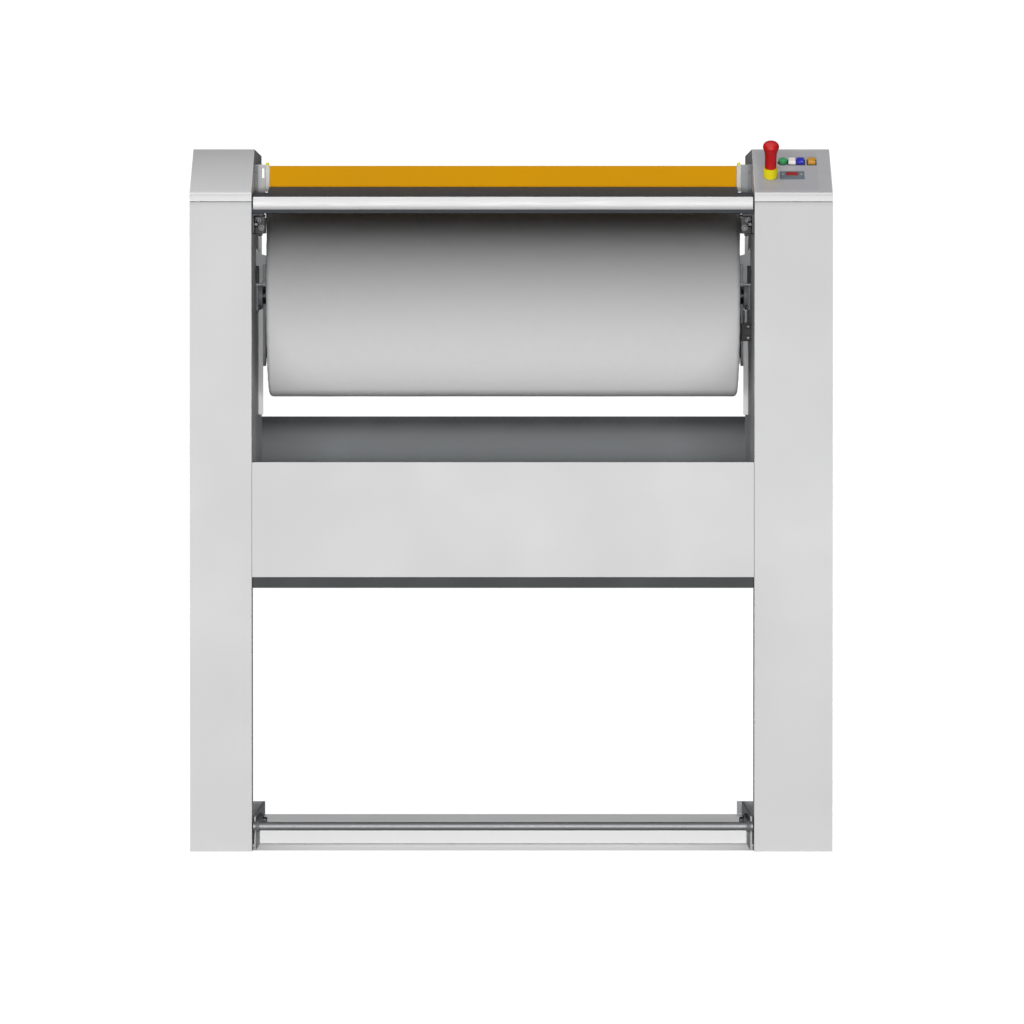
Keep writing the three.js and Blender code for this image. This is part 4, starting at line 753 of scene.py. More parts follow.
def cloth_outline(turn):
    """The cloth's section from hem to hem: pleated end, rounded edge, uneven length, and mirrored."""
    rise = seam_rise(turn)
    wobble = 1.7 * noise.noise(Vector((5 * math.cos(turn), 5 * math.sin(turn), 4)))
    fold = 0.5 + 0.5 * math.cos(PLEATS * turn + wobble)
    left, right = [], []
    for i in range(HEM_STEPS):
        share = 1 - i / HEM_STEPS
        radius = ROLL_R - CORNER - (TURN_IN - CORNER) * share
        bulge = 2.2 * share * fold
        left.append((radius, ROLL_FROM + 0.2 - bulge + 1.2 * share))
        right.append((radius, ROLL_TO - 0.2 + bulge - 1.2 * share))
    for i in range(CORNER_STEPS + 1):
        angle = math.pi / 2 * i / CORNER_STEPS
        radius = ROLL_R - CORNER + (CORNER - 0.2) * math.sin(angle) + rise * math.sin(angle)
        pucker = 0.5 * (fold - 0.5) * (1 - i / CORNER_STEPS)
        inset = CORNER - CORNER * math.cos(angle) + 0.2
        left.append((radius, ROLL_FROM + inset - pucker))
        right.append((radius, ROLL_TO - inset + pucker))
    middle = []
    for i in range(1, LENGTH_STEPS):
        x = ROLL_FROM + CORNER + (ROLL_TO - ROLL_FROM - 2 * CORNER) * i / LENGTH_STEPS
        wave = noise.noise(Vector((x / 60, 2.5 * math.cos(turn), 2.5 * math.sin(turn))))
        wave += 0.5 * noise.noise(Vector((x / 14, 9 * math.cos(turn), 9 * math.sin(turn))))
        middle.append((ROLL_R - 0.2 + 0.16 * wave + rise, x))
    return left + middle + right[::-1]


bm = bmesh.new()
add_sleeve(bm, cloth_outline, CLOTH_FACETS, closed=False)
roll_cloth = make_piece("roll_cloth", bm, ROLL_CLOTH, "roll")
thick = roll_cloth.modifiers.new("cloth thickness", "SOLIDIFY")
thick.thickness = 1.2 * MM
thick.offset = -1
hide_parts("roll_cover")

# %% Two rows of stitches along the seam
STITCH, GAP = 3.0, 1.2
STITCH_ROW = 4.5  # from the middle of the seam
stitches = int((ROLL_TO - ROLL_FROM - 2 * CORNER) / (STITCH + GAP))
bm = bmesh.new()
for row in (-STITCH_ROW, STITCH_ROW):
    turn = SEAM_TURN + row / ROLL_R
    for i in range(stitches):
        x = ROLL_FROM + CORNER + i * (STITCH + GAP)
        middle = round_the_roll(ROLL_R + 0.5, turn, x + STITCH / 2)
        place = Matrix.Translation(middle) @ Matrix.Rotation(turn - math.pi / 2, 4, "X") @ TO_METRES
        add_block(bm, (-STITCH / 2, -0.35, -0.25), (STITCH / 2, 0.35, 0.2), place)
make_piece("roll_seam_stitches", bm, ROLL_FELT, "roll")
print("stitches:", 2 * stitches)

# %% [markdown]
# ## Controls on the right-hand cap
#
# The slope is covered by a grey foil, and the controls stand on a thin, slightly darker overlay,
# which in real life is a printed polyester sheet and here is left bare. Each push button has a
# dark frame round its cap: the green one slightly domed, the others flat with rounded edges. The
# small display shows through a dark red window. All of it lies on the slope, so one matrix places
# it: X from the column's inner face, Y up the slope and Z off it.

# %% The slope as a frame of reference
CAP_BEND, CAP_TOP = 1107.6, 1186  # heights of the slope's foot and head
CAP_RUN = 130  # from the slope's foot back to its head
SLOPE = math.atan2(CAP_TOP - CAP_BEND, CAP_RUN)
ON_SLOPE = (
    Matrix.Translation(Vector((COLUMN_FACE["right"], FRONT / MM, CAP_BEND)) * MM)
    @ Matrix.Rotation(SLOPE, 4, "X") @ TO_METRES
)
print("slope of the cap:", round(math.degrees(SLOPE), 1), "degrees")


def add_plate(bm, x_range, y_range, openings, z_range, place):
    """Adds a flat plate with rectangular openings, each (x0, x1, y0, y1), in mm."""
    xs = sorted({*x_range, *(edge for opening in openings for edge in opening[:2])})
    ys = sorted({*y_range, *(edge for opening in openings for edge in opening[2:])})
    grid = {(x, y): bm.verts.new(place @ Vector((x, y, z_range[0]))) for x in xs for y in ys}
    faces = []
    for x0, x1 in zip(xs, xs[1:]):
        for y0, y1 in zip(ys, ys[1:]):
            middle = ((x0 + x1) / 2, (y0 + y1) / 2)
            if any(o[0] < middle[0] < o[1] and o[2] < middle[1] < o[3] for o in openings):
                continue
            faces.append(bm.faces.new([grid[p] for p in ((x0, y0), (x1, y0), (x1, y1), (x0, y1))]))
    grown = bmesh.ops.extrude_face_region(bm, geom=faces)["geom"]
    lift = place.to_3x3() @ Vector((0, 0, z_range[1] - z_range[0]))
    bmesh.ops.translate(bm, vec=lift, verts=[v for v in grown if isinstance(v, bmesh.types.BMVert)])
    loose = [v for v in grid.values() if not v.link_faces]
    bmesh.ops.delete(bm, geom=loose, context="VERTS")


# %% Where the controls stand on the slope, in mm
STOP_X, STOP_UP = 28, 54.8
BUTTON_UP, BUTTON_LENGTH = 104.3, 14.5
# X and width of each push button
BUTTON_AT = {"green": (51.1, 14.4), "white": (66.4, 12.4), "blue": (80.6, 13.0), "amber": (99.5, 13.2)}
DISPLAY_X, DISPLAY_UP = 65, 60.3
BUTTON_ROOM = 0.6  # between a button and the edge of its opening in the sheets
STOP_ROOM, DISPLAY_ROOM = 7.8, (19, 8.9)  # half sizes of the other openings


def around(x, y, half_width, half_length):
    """A rectangle (x0, x1, y0, y1) round a point on the slope."""
    return (x - half_width, x + half_width, y - half_length, y + half_length)


def round_button(x, width, grown):
    """The rectangle round a push button, grown by some mm on each side."""
    return around(x, BUTTON_UP, width / 2 + grown, BUTTON_LENGTH / 2 + grown)


DISPLAY_OPENING = around(DISPLAY_X, DISPLAY_UP, *DISPLAY_ROOM)
openings = [round_button(x, width, BUTTON_ROOM) for x, width in BUTTON_AT.values()]
openings += [around(STOP_X, STOP_UP, STOP_ROOM, STOP_ROOM), DISPLAY_OPENING]
print("openings in the overlay:", len(openings))

# %% Overlay sheet and the foil below it
# From and to in mm: along X, up the slope and off it.
OVERLAY_X, OVERLAY_UP, OVERLAY_OFF = (7.6, 108.6), (9.5, 142), (0.02, 0.27)
FOIL_X, FOIL_UP, FOIL_OFF = (1.2, 130), (2.5, 149), (0.005, 0.12)
bm = bmesh.new()
add_plate(bm, OVERLAY_X, OVERLAY_UP, openings, OVERLAY_OFF, ON_SLOPE)
make_piece("control_overlay", bm, OVERLAY, "frame")
bm = bmesh.new()
add_plate(bm, FOIL_X, FOIL_UP, openings, FOIL_OFF, ON_SLOPE)
make_piece("panel_foil", bm, PANEL_FOIL, "frame")
print("sheets on the slope: control_overlay, panel_foil")

# %% Frames of the push buttons: the green one is round, the others are rectangular
FRAME_FACETS = 48
bm = bmesh.new()
for name, (x, width) in BUTTON_AT.items():
    if name == "green":
        place = ON_SLOPE @ Matrix.Translation((x, BUTTON_UP, 0))
        half = width / 2
        rings = [(half + 0.5, 0.3), (half + 1.9, 0.3), (half + 1.9, 1.0), (half + 1.4, 1.5),
                 (half + 0.5, 1.5), (half + 0.5, 0.3)]
        circles = []
        for radius, height in rings:
            circles.append([
                bm.verts.new(place @ Vector((radius * math.cos(a), radius * math.sin(a), height)))
                for a in (2 * math.pi * step / FRAME_FACETS for step in range(FRAME_FACETS))
            ])
        for lower, upper in zip(circles, circles[1:]):
            for i in range(FRAME_FACETS):
                bm.faces.new((lower[i - 1], lower[i], upper[i], upper[i - 1]))
    else:
        outer, inner = round_button(x, width, 1.7), round_button(x, width, 0.45)
        add_plate(bm, outer[:2], outer[2:], [inner], (0.3, 1.4), ON_SLOPE)
bmesh.ops.remove_doubles(bm, verts=bm.verts, dist=0.001 * MM)
make_piece("button_frames", bm, BLACK_PLASTIC, "frame", 0.25)
print("button frames:", len(BUTTON_AT))

# %% Button caps: the green one slightly domed, the others flat with rounded edges
CAP_FOOT = 6.0  # where the caps start on the 6.2 mm high buttons
CAP_MARGIN, CAP_HEIGHT = 0.9, 1.2
for name, (x, width) in BUTTON_AT.items():
    bm = bmesh.new()
    half, length = width / 2 - CAP_MARGIN, BUTTON_LENGTH / 2 - CAP_MARGIN
    if name == "green":
        dome = [(half, 0, ROUND), (half, 0.5, ROUND), (half - 0.5, 1.0, ROUND),
                (half * 0.6, 1.3, ROUND), (half * 0.2, 1.4, ROUND)]
        add_turned(bm, dome, ON_SLOPE @ Matrix.Translation((x, BUTTON_UP, CAP_FOOT)), 48)
    else:
        left, right, low, high = around(x, BUTTON_UP, half, length)
        add_block(bm, (left, low, CAP_FOOT), (right, high, CAP_FOOT + CAP_HEIGHT), ON_SLOPE)
    make_piece(f"button_cap_{name}", bm, BUTTON_PLASTIC[name], f"button_{name}", 0.45)
print("button caps:", len(BUTTON_AT))

# %% Display: bezel, window with three unlit digits, and two keys
bm = bmesh.new()
bezel_x, bezel_y = (DISPLAY_X - 20.4, DISPLAY_X + 20.4), (DISPLAY_UP - 13.7, DISPLAY_UP + 10.3)
add_plate(bm, bezel_x, bezel_y, [DISPLAY_OPENING], (0.3, 2.7), ON_SLOPE)
make_piece("display_bezel", bm, DISPLAY_CASE, "frame", 0.4)
bm = bmesh.new()
window_x, window_y = (DISPLAY_X - 10.4, DISPLAY_X + 10.2), (DISPLAY_UP - 4.3, DISPLAY_UP + 7.6)
add_block(bm, (window_x[0], window_y[0], 2.3), (window_x[1], window_y[1], 2.9), ON_SLOPE)
make_piece("display_window", bm, DISPLAY_GLASS, "frame", 0.2)

DIGIT_HEIGHT, DIGIT_WIDTH, BAR = 5.2, 2.8, 0.55
BAR_FOOT, BAR_TOP = 2.85, 2.95
bm = bmesh.new()
for digit in range(3):
    x = window_x[0] + 3.6 + digit * 5.4
    y = (window_y[0] + window_y[1]) / 2 - DIGIT_HEIGHT / 2
    bars = []
    for rise in (0, DIGIT_HEIGHT / 2, DIGIT_HEIGHT):
        bars.append((x + 0.4, x + DIGIT_WIDTH - 0.4, y + rise - BAR / 2, y + rise + BAR / 2))
    for side_x in (x, x + DIGIT_WIDTH):
        for rise in (0.3, DIGIT_HEIGHT / 2 + 0.3):
            top = rise + DIGIT_HEIGHT / 2 - 0.6
            bars.append((side_x - BAR / 2, side_x + BAR / 2, y + rise, y + top))
    for left, right, low, high in bars:
        add_block(bm, (left, low, BAR_FOOT), (right, high, BAR_TOP), ON_SLOPE)
make_piece("display_digits", bm, DISPLAY_SEGMENT, "frame")

bm = bmesh.new()
for x in (DISPLAY_X - 15.6, DISPLAY_X + 15.6):
    left, right, low, high = around(x, DISPLAY_UP, 2, 3.2)
    add_block(bm, (left, low, 2.3), (right, high, 3.3), ON_SLOPE)
make_piece("display_keys", bm, KEY_GREY, "frame", 0.4)
print("display: bezel, window, digits and keys")

# %% Stop button: a smooth mushroom head and a ribbed collar
AT_STOP = ON_SLOPE @ Matrix.Translation((STOP_X, STOP_UP, 0))
stem = [(9.3, 13.2), (9.8, 13.8), (9.8, 32), (9.9, 38), (10.1, 43)]
flare = [(10.6, 47), (11.5, 50.5), (12.6, 53.6), (13.4, 55.9), (13.7, 57.2)]
rim = []
for step in range(1, 9):
    angle = math.radians(90 * step / 8)
    rim.append((7.7 + 6 * math.cos(angle), 57.5 + 8 * math.sin(angle)))
crown = [(5.5, 66.4), (3.2, 67.0), (1.2, 67.2)]
head = [(radius, height, ROUND) for radius, height in stem + flare + rim + crown]
bm = bmesh.new()
add_turned(bm, head, AT_STOP, 64)
stop_head = make_piece("stop_head", bm, STOP_RED, "e_stop_head")
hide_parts("e_stop_head")

RIBS, RIB_HALF = 36, 0.45
bm = bmesh.new()
for i in range(RIBS):
    spin = Matrix.Rotation(2 * math.pi * i / RIBS, 4, "Z")
    add_block(bm, (10.8, -RIB_HALF, 3.0), (11.45, RIB_HALF, 15.5), AT_STOP @ spin)
make_piece("stop_collar_ribs", bm, STOP_YELLOW, "frame", 0.2)
print("stop button: head rings", len(head), "collar ribs", RIBS)

# %% [markdown]
# ## The gaps at the roll's ends
#
# Between roll and column one looks into the works: blackened brackets and bolts under the feed
# table, a gusset below them, a small shelf with a stud, the bearing, and on the right the limit
# switch. Behind them a narrow angle stands on the inner cover. It faces the front and so catches
# more light than the cover beside it. These bits are only a few pixels wide in the photograph, but
# without them the gaps look empty. Each bolt sits on the face that carries it.

# %% Heads of bolts and screws, and a stud


def hex_bolt(bm, place, flats, washer=True):
    """A hexagon head of a width across flats in mm, with or without its washer."""
    rings = [(flats * 0.95, 0, ROUND), (flats * 0.95, flats * 0.12, ROUND)] if washer else []
    low = flats * 0.12 if washer else 0
    rings += [(flats / 2, low, HEX), (flats / 2, low + flats * 0.5, HEX)]
    rings += [(flats * 0.47, low + flats * 0.6, ROUND), (flats * 0.2, low + flats * 0.62, ROUND)]
    add_turned(bm, rings, place)


def button_screw(bm, place, radius):
    """A low domed head with a hexagon socket."""
    height = radius * 0.55
    rings = [(radius, 0, ROUND), (radius, height * 0.25, ROUND), (radius * 0.86, height * 0.7, ROUND),
             (radius * 0.6, height * 0.95, ROUND)]
    rings += [(radius * 0.42, height, HEX), (radius * 0.42, height * 0.35, HEX)]
    add_turned(bm, rings, place)


def flat_screw(bm, place, radius):
    """A countersunk screw, almost flush with its sheet."""
    rings = [(radius, -0.3, ROUND), (radius, 0.2, ROUND), (radius * 0.92, 0.35, ROUND),
             (radius * 0.45, 0.35, HEX), (radius * 0.45, -0.25, HEX)]
    add_turned(bm, rings, place)


def socket_screw(bm, place, radius):
    """A cylindrical head with a hexagon socket."""
    height = radius * 1.1
    rings = [(radius, 0, ROUND), (radius, height * 0.9, ROUND), (radius * 0.9, height, ROUND),
             (radius * 0.5, height, HEX), (radius * 0.5, height * 0.4, HEX)]
    add_turned(bm, rings, place)


def threaded_stud(bm, place, radius, length, pitch=1.6):
    """A stud whose thread is drawn as rings, coarser than a real one so that it shows."""
    rings = [(radius * 0.8, 0, ROUND)]
    for i in range(int(length / pitch)):
        rings += [(radius, (i + 0.3) * pitch, ROUND), (radius * 0.82, (i + 0.8) * pitch, ROUND)]
    rings.append((radius * 0.6, length, ROUND))
    add_turned(bm, rings, place, 16)


print("fasteners: hex bolt, button screw, flat screw, socket screw, stud")

# %% Bolts of the feed brackets and bearings
BRACKET_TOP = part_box("feed_bracket_left")[1].z / MM
RIB_Y = FRONT / MM + 50  # the brackets' cross rib
SIDE_FACE = 4.3  # from the column to the face that the side bolts sit on


def opening_bolts(side):
    """Two bolts in the bracket's rib, two in its side and four round the bearing."""
    toward_roll = (INWARD[side], 0, 0)
    bm = bmesh.new()
    for distance, drop in ((9, 11), (15, 23)):
        hex_bolt(bm, standing_at(in_opening(side, distance), RIB_Y, BRACKET_TOP - drop, (0, -1, 0)), 5.5)
    x = in_opening(side, SIDE_FACE)
    for y in (RIB_Y - 26, RIB_Y + 26):
        hex_bolt(bm, standing_at(x, y, BRACKET_TOP - 18, toward_roll), 8)
    for along in (-19.5, 19.5):
        for up in (-20.5, 20.5):
            hex_bolt(bm, standing_at(x, AXIS_Y + along, AXIS_Z + up, toward_roll), 6, False)
    make_piece(f"opening_bolts_{side}", bm, BLACK_OXIDE, "frame", 0.15)


print("feed brackets reach up to", round(BRACKET_TOP, 1), "mm")

# %% Small shelf with a threaded stud and two nuts, and the block on it
SHELF_Y, SHELF_Z = (-50, -36.5), (955.5, 958.5)  # from and to, in depth and in height
STUD_Y, UPPER_NUT = -43, 981  # the stud's depth, its upper nut's height
HEX_NUT = [(4.2, 0, HEX), (4.2, 3.4, HEX), (3.9, 4, ROUND)]
UP = (0, 0, 1)


def stud_shelf(side):
    """The shelf, its stud, one nut on the shelf and one higher up."""
    bm = bmesh.new()
    left, right = across(side, 0.4, 19.5)
    add_block(bm, (left, SHELF_Y[0], SHELF_Z[0]), (right, SHELF_Y[1], SHELF_Z[1]))
    stud_x = in_opening(side, 15.5)
    threaded_stud(bm, standing_at(stud_x, STUD_Y, SHELF_Z[1] - 0.5, UP), 2.4, 34)
    for height in (SHELF_Z[1], UPPER_NUT):
        add_turned(bm, HEX_NUT, standing_at(stud_x, STUD_Y, height, UP))
    return make_piece(f"stud_shelf_{side}", bm, SHOE_PRIMER, "frame", 0.2)


def shelf_block(side):
    """The dark block beside the stud, with a narrower top."""
    bm = bmesh.new()
    left, right = across(side, 0.4, 6)
    add_block(bm, (left, -49.5, 959), (right, -37.5, 986))
    add_block(bm, (left, -47, 986), (right, -40, 989))
    make_piece(f"shelf_block_{side}", bm, GAP_BLACK, "frame", 0.8)


in_the_gaps = []
for side in SIDES:
    opening_bolts(side)
    in_the_gaps.append(stud_shelf(side))
    shelf_block(side)
print("in each gap: opening_bolts, stud_shelf, shelf_block")

# %% Gussets, cheeks of the brackets and angles on the inner covers
# Outlines of upright plates: distance from the column, and height, in mm.
GUSSET = [(0.4, 959), (20.8, 959), (20.8, 1006), (9.6, 1009), (0.4, 1020)]
REAR_STRIP = [(0.4, 840), (9.6, 840), (9.6, 955), (0.4, 955)]
COVER_ANGLE = [(0.4, 735), (8.4, 735), (8.4, 1004), (6.2, 1010), (6.2, 1040), (0.4, 1044)]
BRACKET_CHEEK = [(4.6, 1042.5), (20.8, 1042.5), (20.8, 1069), (9.6, 1073), (4.6, 1073)]


def add_outline(bm, side, outline, y_range):
    """Adds an upright plate beside a column, between two depths in mm."""
    base = [bm.verts.new(Vector((in_opening(side, distance), y_range[0], z)) * MM)
            for distance, z in outline]
    grown = bmesh.ops.extrude_face_region(bm, geom=[bm.faces.new(base)])["geom"]
    lift = Vector((0, y_range[1] - y_range[0], 0)) * MM
    bmesh.ops.translate(bm, vec=lift, verts=[v for v in grown if isinstance(v, bmesh.types.BMVert)])


for side in SIDES:
    bm = bmesh.new()
    add_outline(bm, side, GUSSET, (-36, -34))
    add_outline(bm, side, REAR_STRIP, (206, 208))
    in_the_gaps.append(make_piece(f"gusset_{side}", bm, SHOE_PRIMER, "frame", 0.4))
    bm = bmesh.new()
    add_outline(bm, side, COVER_ANGLE, (66, 68))
    left, right = across(side, 0.4, 3.4)
    add_block(bm, (left, 68, 735), (right, 84, 1040))
    in_the_gaps.append(make_piece(f"cover_angle_{side}", bm, COVER_PAINT, "frame", 0.3))
    bm = bmesh.new()
    add_outline(bm, side, BRACKET_CHEEK, (-111, -108))
    make_piece(f"bracket_cheek_{side}", bm, GAP_BLACK, "frame", 0.5)
print("gap pieces in the light:", [piece.name for piece in in_the_gaps])

# %% Screws of the chest's arms and the nut on its pivot; they ride on the chest
CHEST_PIVOT, ARM_TOP = (120, 845), (167.3, 982.8)  # depth and height
ARM_FACE = 11.3  # from the column to the arm's face on the roll's side
ALONG_THE_ARM = (0.33, 0.5, 0.67, 1.0)
for side in SIDES:
    x, toward_roll = in_opening(side, ARM_FACE), (INWARD[side], 0, 0)
    bm = bmesh.new()
    for share in ALONG_THE_ARM:
        y = CHEST_PIVOT[0] + (ARM_TOP[0] - CHEST_PIVOT[0]) * share
        z = CHEST_PIVOT[1] + (ARM_TOP[1] - CHEST_PIVOT[1]) * share
        socket_screw(bm, standing_at(x, y, z, toward_roll), 4.2)
    hex_bolt(bm, standing_at(x, *CHEST_PIVOT, toward_roll), 13)
    make_piece(f"chest_arm_screws_{side}", bm, BLACK_OXIDE, "chest", 0.15)
print("screws in each arm of the chest:", len(ALONG_THE_ARM))

# %% Limit switch: two studs on top, its lid with two screws, and the plunger
switch_low, switch_high = (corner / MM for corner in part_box("limit_switch"))
switch_y = (switch_low.y + switch_high.y) / 2
bm = bmesh.new()
for distance in (5, 12):
    threaded_stud(bm, standing_at(in_opening("right", distance), switch_y, switch_high.z, UP), 1.9, 23)
for z in (switch_low.z + 5, switch_high.z - 5):
    button_screw(bm, standing_at(in_opening("right", 5), switch_low.y, z, (0, -1, 0)), 2)
make_piece("limit_switch_studs", bm, FASTENER, "frame", 0.1)
lid_low = (switch_low.x + 2.5, switch_low.y - 1.2, switch_low.z + 9)
lid_high = (switch_high.x - 3, switch_low.y + 1, switch_high.z - 9)
plunger_low = (switch_low.x + 2, switch_low.y + 4, switch_high.z - 1)
plunger_high = (switch_high.x - 2, switch_high.y - 4, switch_high.z + 2)
bm = bmesh.new()
add_block(bm, lid_low, lid_high)
add_block(bm, plunger_low, plunger_high)
make_piece("limit_switch_lid", bm, BLACK_PLASTIC, "frame", 0.5)
print("limit switch from", [round(v, 1) for v in switch_low], "to", [round(v, 1) for v in switch_high])

# %% Soft tips on the guard's end posts
for side in SIDES:
    low, high = (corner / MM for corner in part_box(f"guard_post_{side}"))
    on_post = standing_at((low.x + high.x) / 2, (low.y + high.y) / 2, high.z - 0.2, UP)
    dome = [(3.1, 0, ROUND), (3.1, 1.6, ROUND), (2.8, 3.2, ROUND), (2.0, 4.4, ROUND), (0.9, 5.0, ROUND)]
    bm = bmesh.new()
    add_turned(bm, dome, on_post)
    make_piece(f"post_tip_{side}", bm, CAP_PLASTIC, "finger_guard", 0.3)
print("tips on", len(SIDES), "posts, up to", round(high.z + 4.8, 1), "mm")

# %% Angle that holds each of the guard's brackets to its column; its darker grey is painted shade on the bracket's root
for side in SIDES:
    low, high = (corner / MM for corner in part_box(f"guard_bracket_{side}"))
    left, right = across(side, 0.3, 6.2)
    bm = bmesh.new()
    add_block(bm, (left, low.y - 5, low.z + 3), (right, low.y - 0.2, high.z - 2))
    for z in (low.z + 16, high.z - 14):
        button_screw(bm, standing_at((left + right) / 2, low.y - 5, z, (0, -1, 0)), 1.9)
    make_piece(f"bracket_angle_{side}", bm, PAINTED_SHADE_GREY, "frame", 0.4)
print("angles before the guard's brackets, from", round(low.z + 3, 1), "to", round(high.z - 2, 1), "mm")

# %% [markdown]
# ## Screws, vents and other details on the covers
#
# The photograph shows only the front, so the other sides follow common practice. Countersunk
# screws, almost flush, hold each outer cover along its edges and each cap at its side. Button-head
# screws hold the covers at the rear and on the inner sides. Pressed louvres let the motor's warm
# air and the terminal box's out at the rear. A louvre is a shallow half dome of sheet, open below.

# %% Cover screws on the outer sides, the rear, the inner sides and the caps
OUTER = {"left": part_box("outer_cover_left")[0].x / MM, "right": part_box("outer_cover_right")[1].x / MM}
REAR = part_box("outer_cover_left")[1].y / MM
SCREW_ROWS = (70, 420, 760, 1060)  # heights on the outer sides and the rear
INNER_ROWS, CAP_ROW = (520, 780, 1050), 1112  # heights on the inner sides and on the caps
for side in SIDES:
    outward, inward = -INWARD[side], INWARD[side]
    bm = bmesh.new()
    for z in SCREW_ROWS:
        for y in (FRONT / MM + 14, REAR - 16):
            flat_screw(bm, standing_at(OUTER[side], y, z, (outward, 0, 0)), 4.5)
    near_outer, near_inner = OUTER[side] + inward * 14, COLUMN_FACE[side] - inward * 16
    for z in SCREW_ROWS[1:]:
        # the lowest of these rows has only its outer screw
        for x in (near_outer,) if z == SCREW_ROWS[1] else (near_outer, near_inner):
            button_screw(bm, standing_at(x, REAR, z, (0, 1, 0)), 4.5)
    for z in INNER_ROWS:
        button_screw(bm, standing_at(COLUMN_FACE[side], REAR - 14, z, (inward, 0, 0)), 4)
    for y in (-60, REAR - 20):
        flat_screw(bm, standing_at(OUTER[side], y, CAP_ROW, (outward, 0, 0)), 4)
    make_piece(f"cover_screws_{side}", bm, FASTENER, "frame")
print("outer faces of the covers at x =", OUTER, "and y =", round(REAR, 1))

# %% Louvres in the rear covers
LOUVRE_WIDTH, LOUVRE_RISE, LOUVRE_HEIGHT, LOUVRE_SPACING = 52, 3.2, 9, 15
LOUVRES = (("right", 600, 8), ("left", 700, 5))  # column, height of the lowest, and how many
WIDTH_STEPS, CURVE_STEPS = 14, 5


def louvre_column(bm, middle, base, share):
    """One upright row of points at a share of the louvre's width, from its top to its open edge."""
    lift = math.sin(min(1.0, 4 * share, 4 * (1 - share)) * math.pi / 2)
    x = middle + LOUVRE_WIDTH * (share - 0.5)
    column = []
    for j in range(CURVE_STEPS + 1):
        angle = math.pi / 2 * j / CURVE_STEPS
        y = REAR + 0.05 + LOUVRE_RISE * lift * math.sin(angle)
        z = base + LOUVRE_HEIGHT * math.cos(angle) * (0.4 + 0.6 * lift)
        column.append(bm.verts.new(Vector((x, y, z)) * MM))
    return column


bm = bmesh.new()
for side, lowest, count in LOUVRES:
    middle = (OUTER[side] + COLUMN_FACE[side]) / 2
    for row in range(count):
        base = lowest + row * LOUVRE_SPACING
        columns = [louvre_column(bm, middle, base, i / WIDTH_STEPS) for i in range(WIDTH_STEPS + 1)]
        for left, right in zip(columns, columns[1:]):
            for j in range(CURVE_STEPS):
                bm.faces.new((left[j], right[j], right[j + 1], left[j + 1]))
louvres = make_piece("rear_louvres", bm, COVER_PAINT, "frame")
sheet = louvres.modifiers.new("sheet thickness", "SOLIDIFY")
sheet.thickness = 0.9 * MM
print("louvres:", sum(count for _, _, count in LOUVRES), "each", LOUVRE_WIDTH, "mm wide")

# %% Pivot bolts of the foot bar's arms; they ride on the foot bar
PEDAL_PIVOT = (-55, 42.8)  # depth and height
for side in SIDES:
    bm = bmesh.new()
    hex_bolt(bm, standing_at(in_opening(side, 12.3), *PEDAL_PIVOT, (INWARD[side], 0, 0)), 10)
    make_piece(f"pedal_bolts_{side}", bm, BLACK_OXIDE, "foot_bar", 0.15)
print("pivot bolts at depth and height", PEDAL_PIVOT)

# %% [markdown]
# ## Stage and light
#
# A pale floor runs to the horizon and a white surround stands behind, so the machine floats on
# white as it does in the photograph. White all round would light it flatly from everywhere. So the
# Light Path node keeps two levels apart: what the camera sees is white, and what lights the machine
# is much weaker. The shape then comes from soft boxes, and each lights only some of the pieces: a
# large one in front and one overhead for all but the roll, the base pan and the floor, a high one
# for the sloping caps, the controls, the guard and the feed table, a low one that shines up onto
# the roll, past the tray, one for the narrow gaps beside the roll, which the machine's own parts
# don't shade, and others for the sides, the back and the base pan. The surround gives a little
# light, only from overhead, so the roll stays dark under the feed table. The floor's glow is
# lowered under the machine, so a contact shadow shows.

# %% Floor


def seen_and_given(tree, seen, given):
    """A strength that is one value for what the camera sees and another for the light given off."""
    path = add_node(tree, "ShaderNodeLightPath").outputs["Is Camera Ray"]
    return add_node(
        tree, "ShaderNodeMapRange",
        {"Value": path, "From Min": 0.0, "From Max": 1.0, "To Min": given, "To Max": seen},
    ).outputs["Result"]


FLOOR_HALF = 60.0  # metres, so that it reaches the horizon
FLOOR_SEEN, FLOOR_GIVEN = 0.96, 0.1
UNDER_MACHINE = (("X", 0.53), ("Y", 0.178))  # half sizes in metres of the darker floor
floor_mesh = bpy.data.meshes.new("floor")
corners = [(x * FLOOR_HALF, y * FLOOR_HALF, 0) for x, y in ((-1, -1), (1, -1), (1, 1), (-1, 1))]
floor_mesh.from_pydata(corners, [], [(0, 1, 2, 3)])
floor = bpy.data.objects.new("floor", floor_mesh)
bpy.context.scene.collection.objects.link(floor)
floor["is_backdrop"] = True
tree, shader, place = new_material("pale studio floor", **{
    "Base Color": colour(0xD8D8D8), "Roughness": 0.9, "Specular IOR Level": 0.1,
    "Emission Color": colour(0xFFFFFF),
})
at = add_node(tree, "ShaderNodeSeparateXYZ", {"Vector": place}).outputs
inside = 1.0
for axis, half_size in UNDER_MACHINE:
    away = add_node(tree, "ShaderNodeMath", {0: at[axis]}, operation="ABSOLUTE").outputs[0]
    within = add_node(
        tree, "ShaderNodeMapRange",
        {"Value": away, "From Min": half_size - 0.01, "From Max": half_size + 0.005,
         "To Min": 1.0, "To Max": 0.0},
        interpolation_type="SMOOTHSTEP",
    ).outputs["Result"]
    inside = add_node(tree, "ShaderNodeMath", {0: inside, 1: within}, operation="MULTIPLY").outputs[0]
# painted contact shadow: under the machine the floor's glow drops where ambient occlusion closes it in
openness = add_node(tree, "ShaderNodeAmbientOcclusion", {"Distance": 0.25}, samples=8).outputs["AO"]
under = add_node(
    tree, "ShaderNodeMapRange",
    {"Value": openness, "From Min": 0.1, "From Max": 0.8, "To Min": 0.22, "To Max": 0.54},
).outputs["Result"]
seen = add_node(tree, "ShaderNodeMix", {0: inside, 2: FLOOR_SEEN, 3: under}).outputs[0]
tree.links.new(seen_and_given(tree, seen, FLOOR_GIVEN), shader.inputs["Emission Strength"])
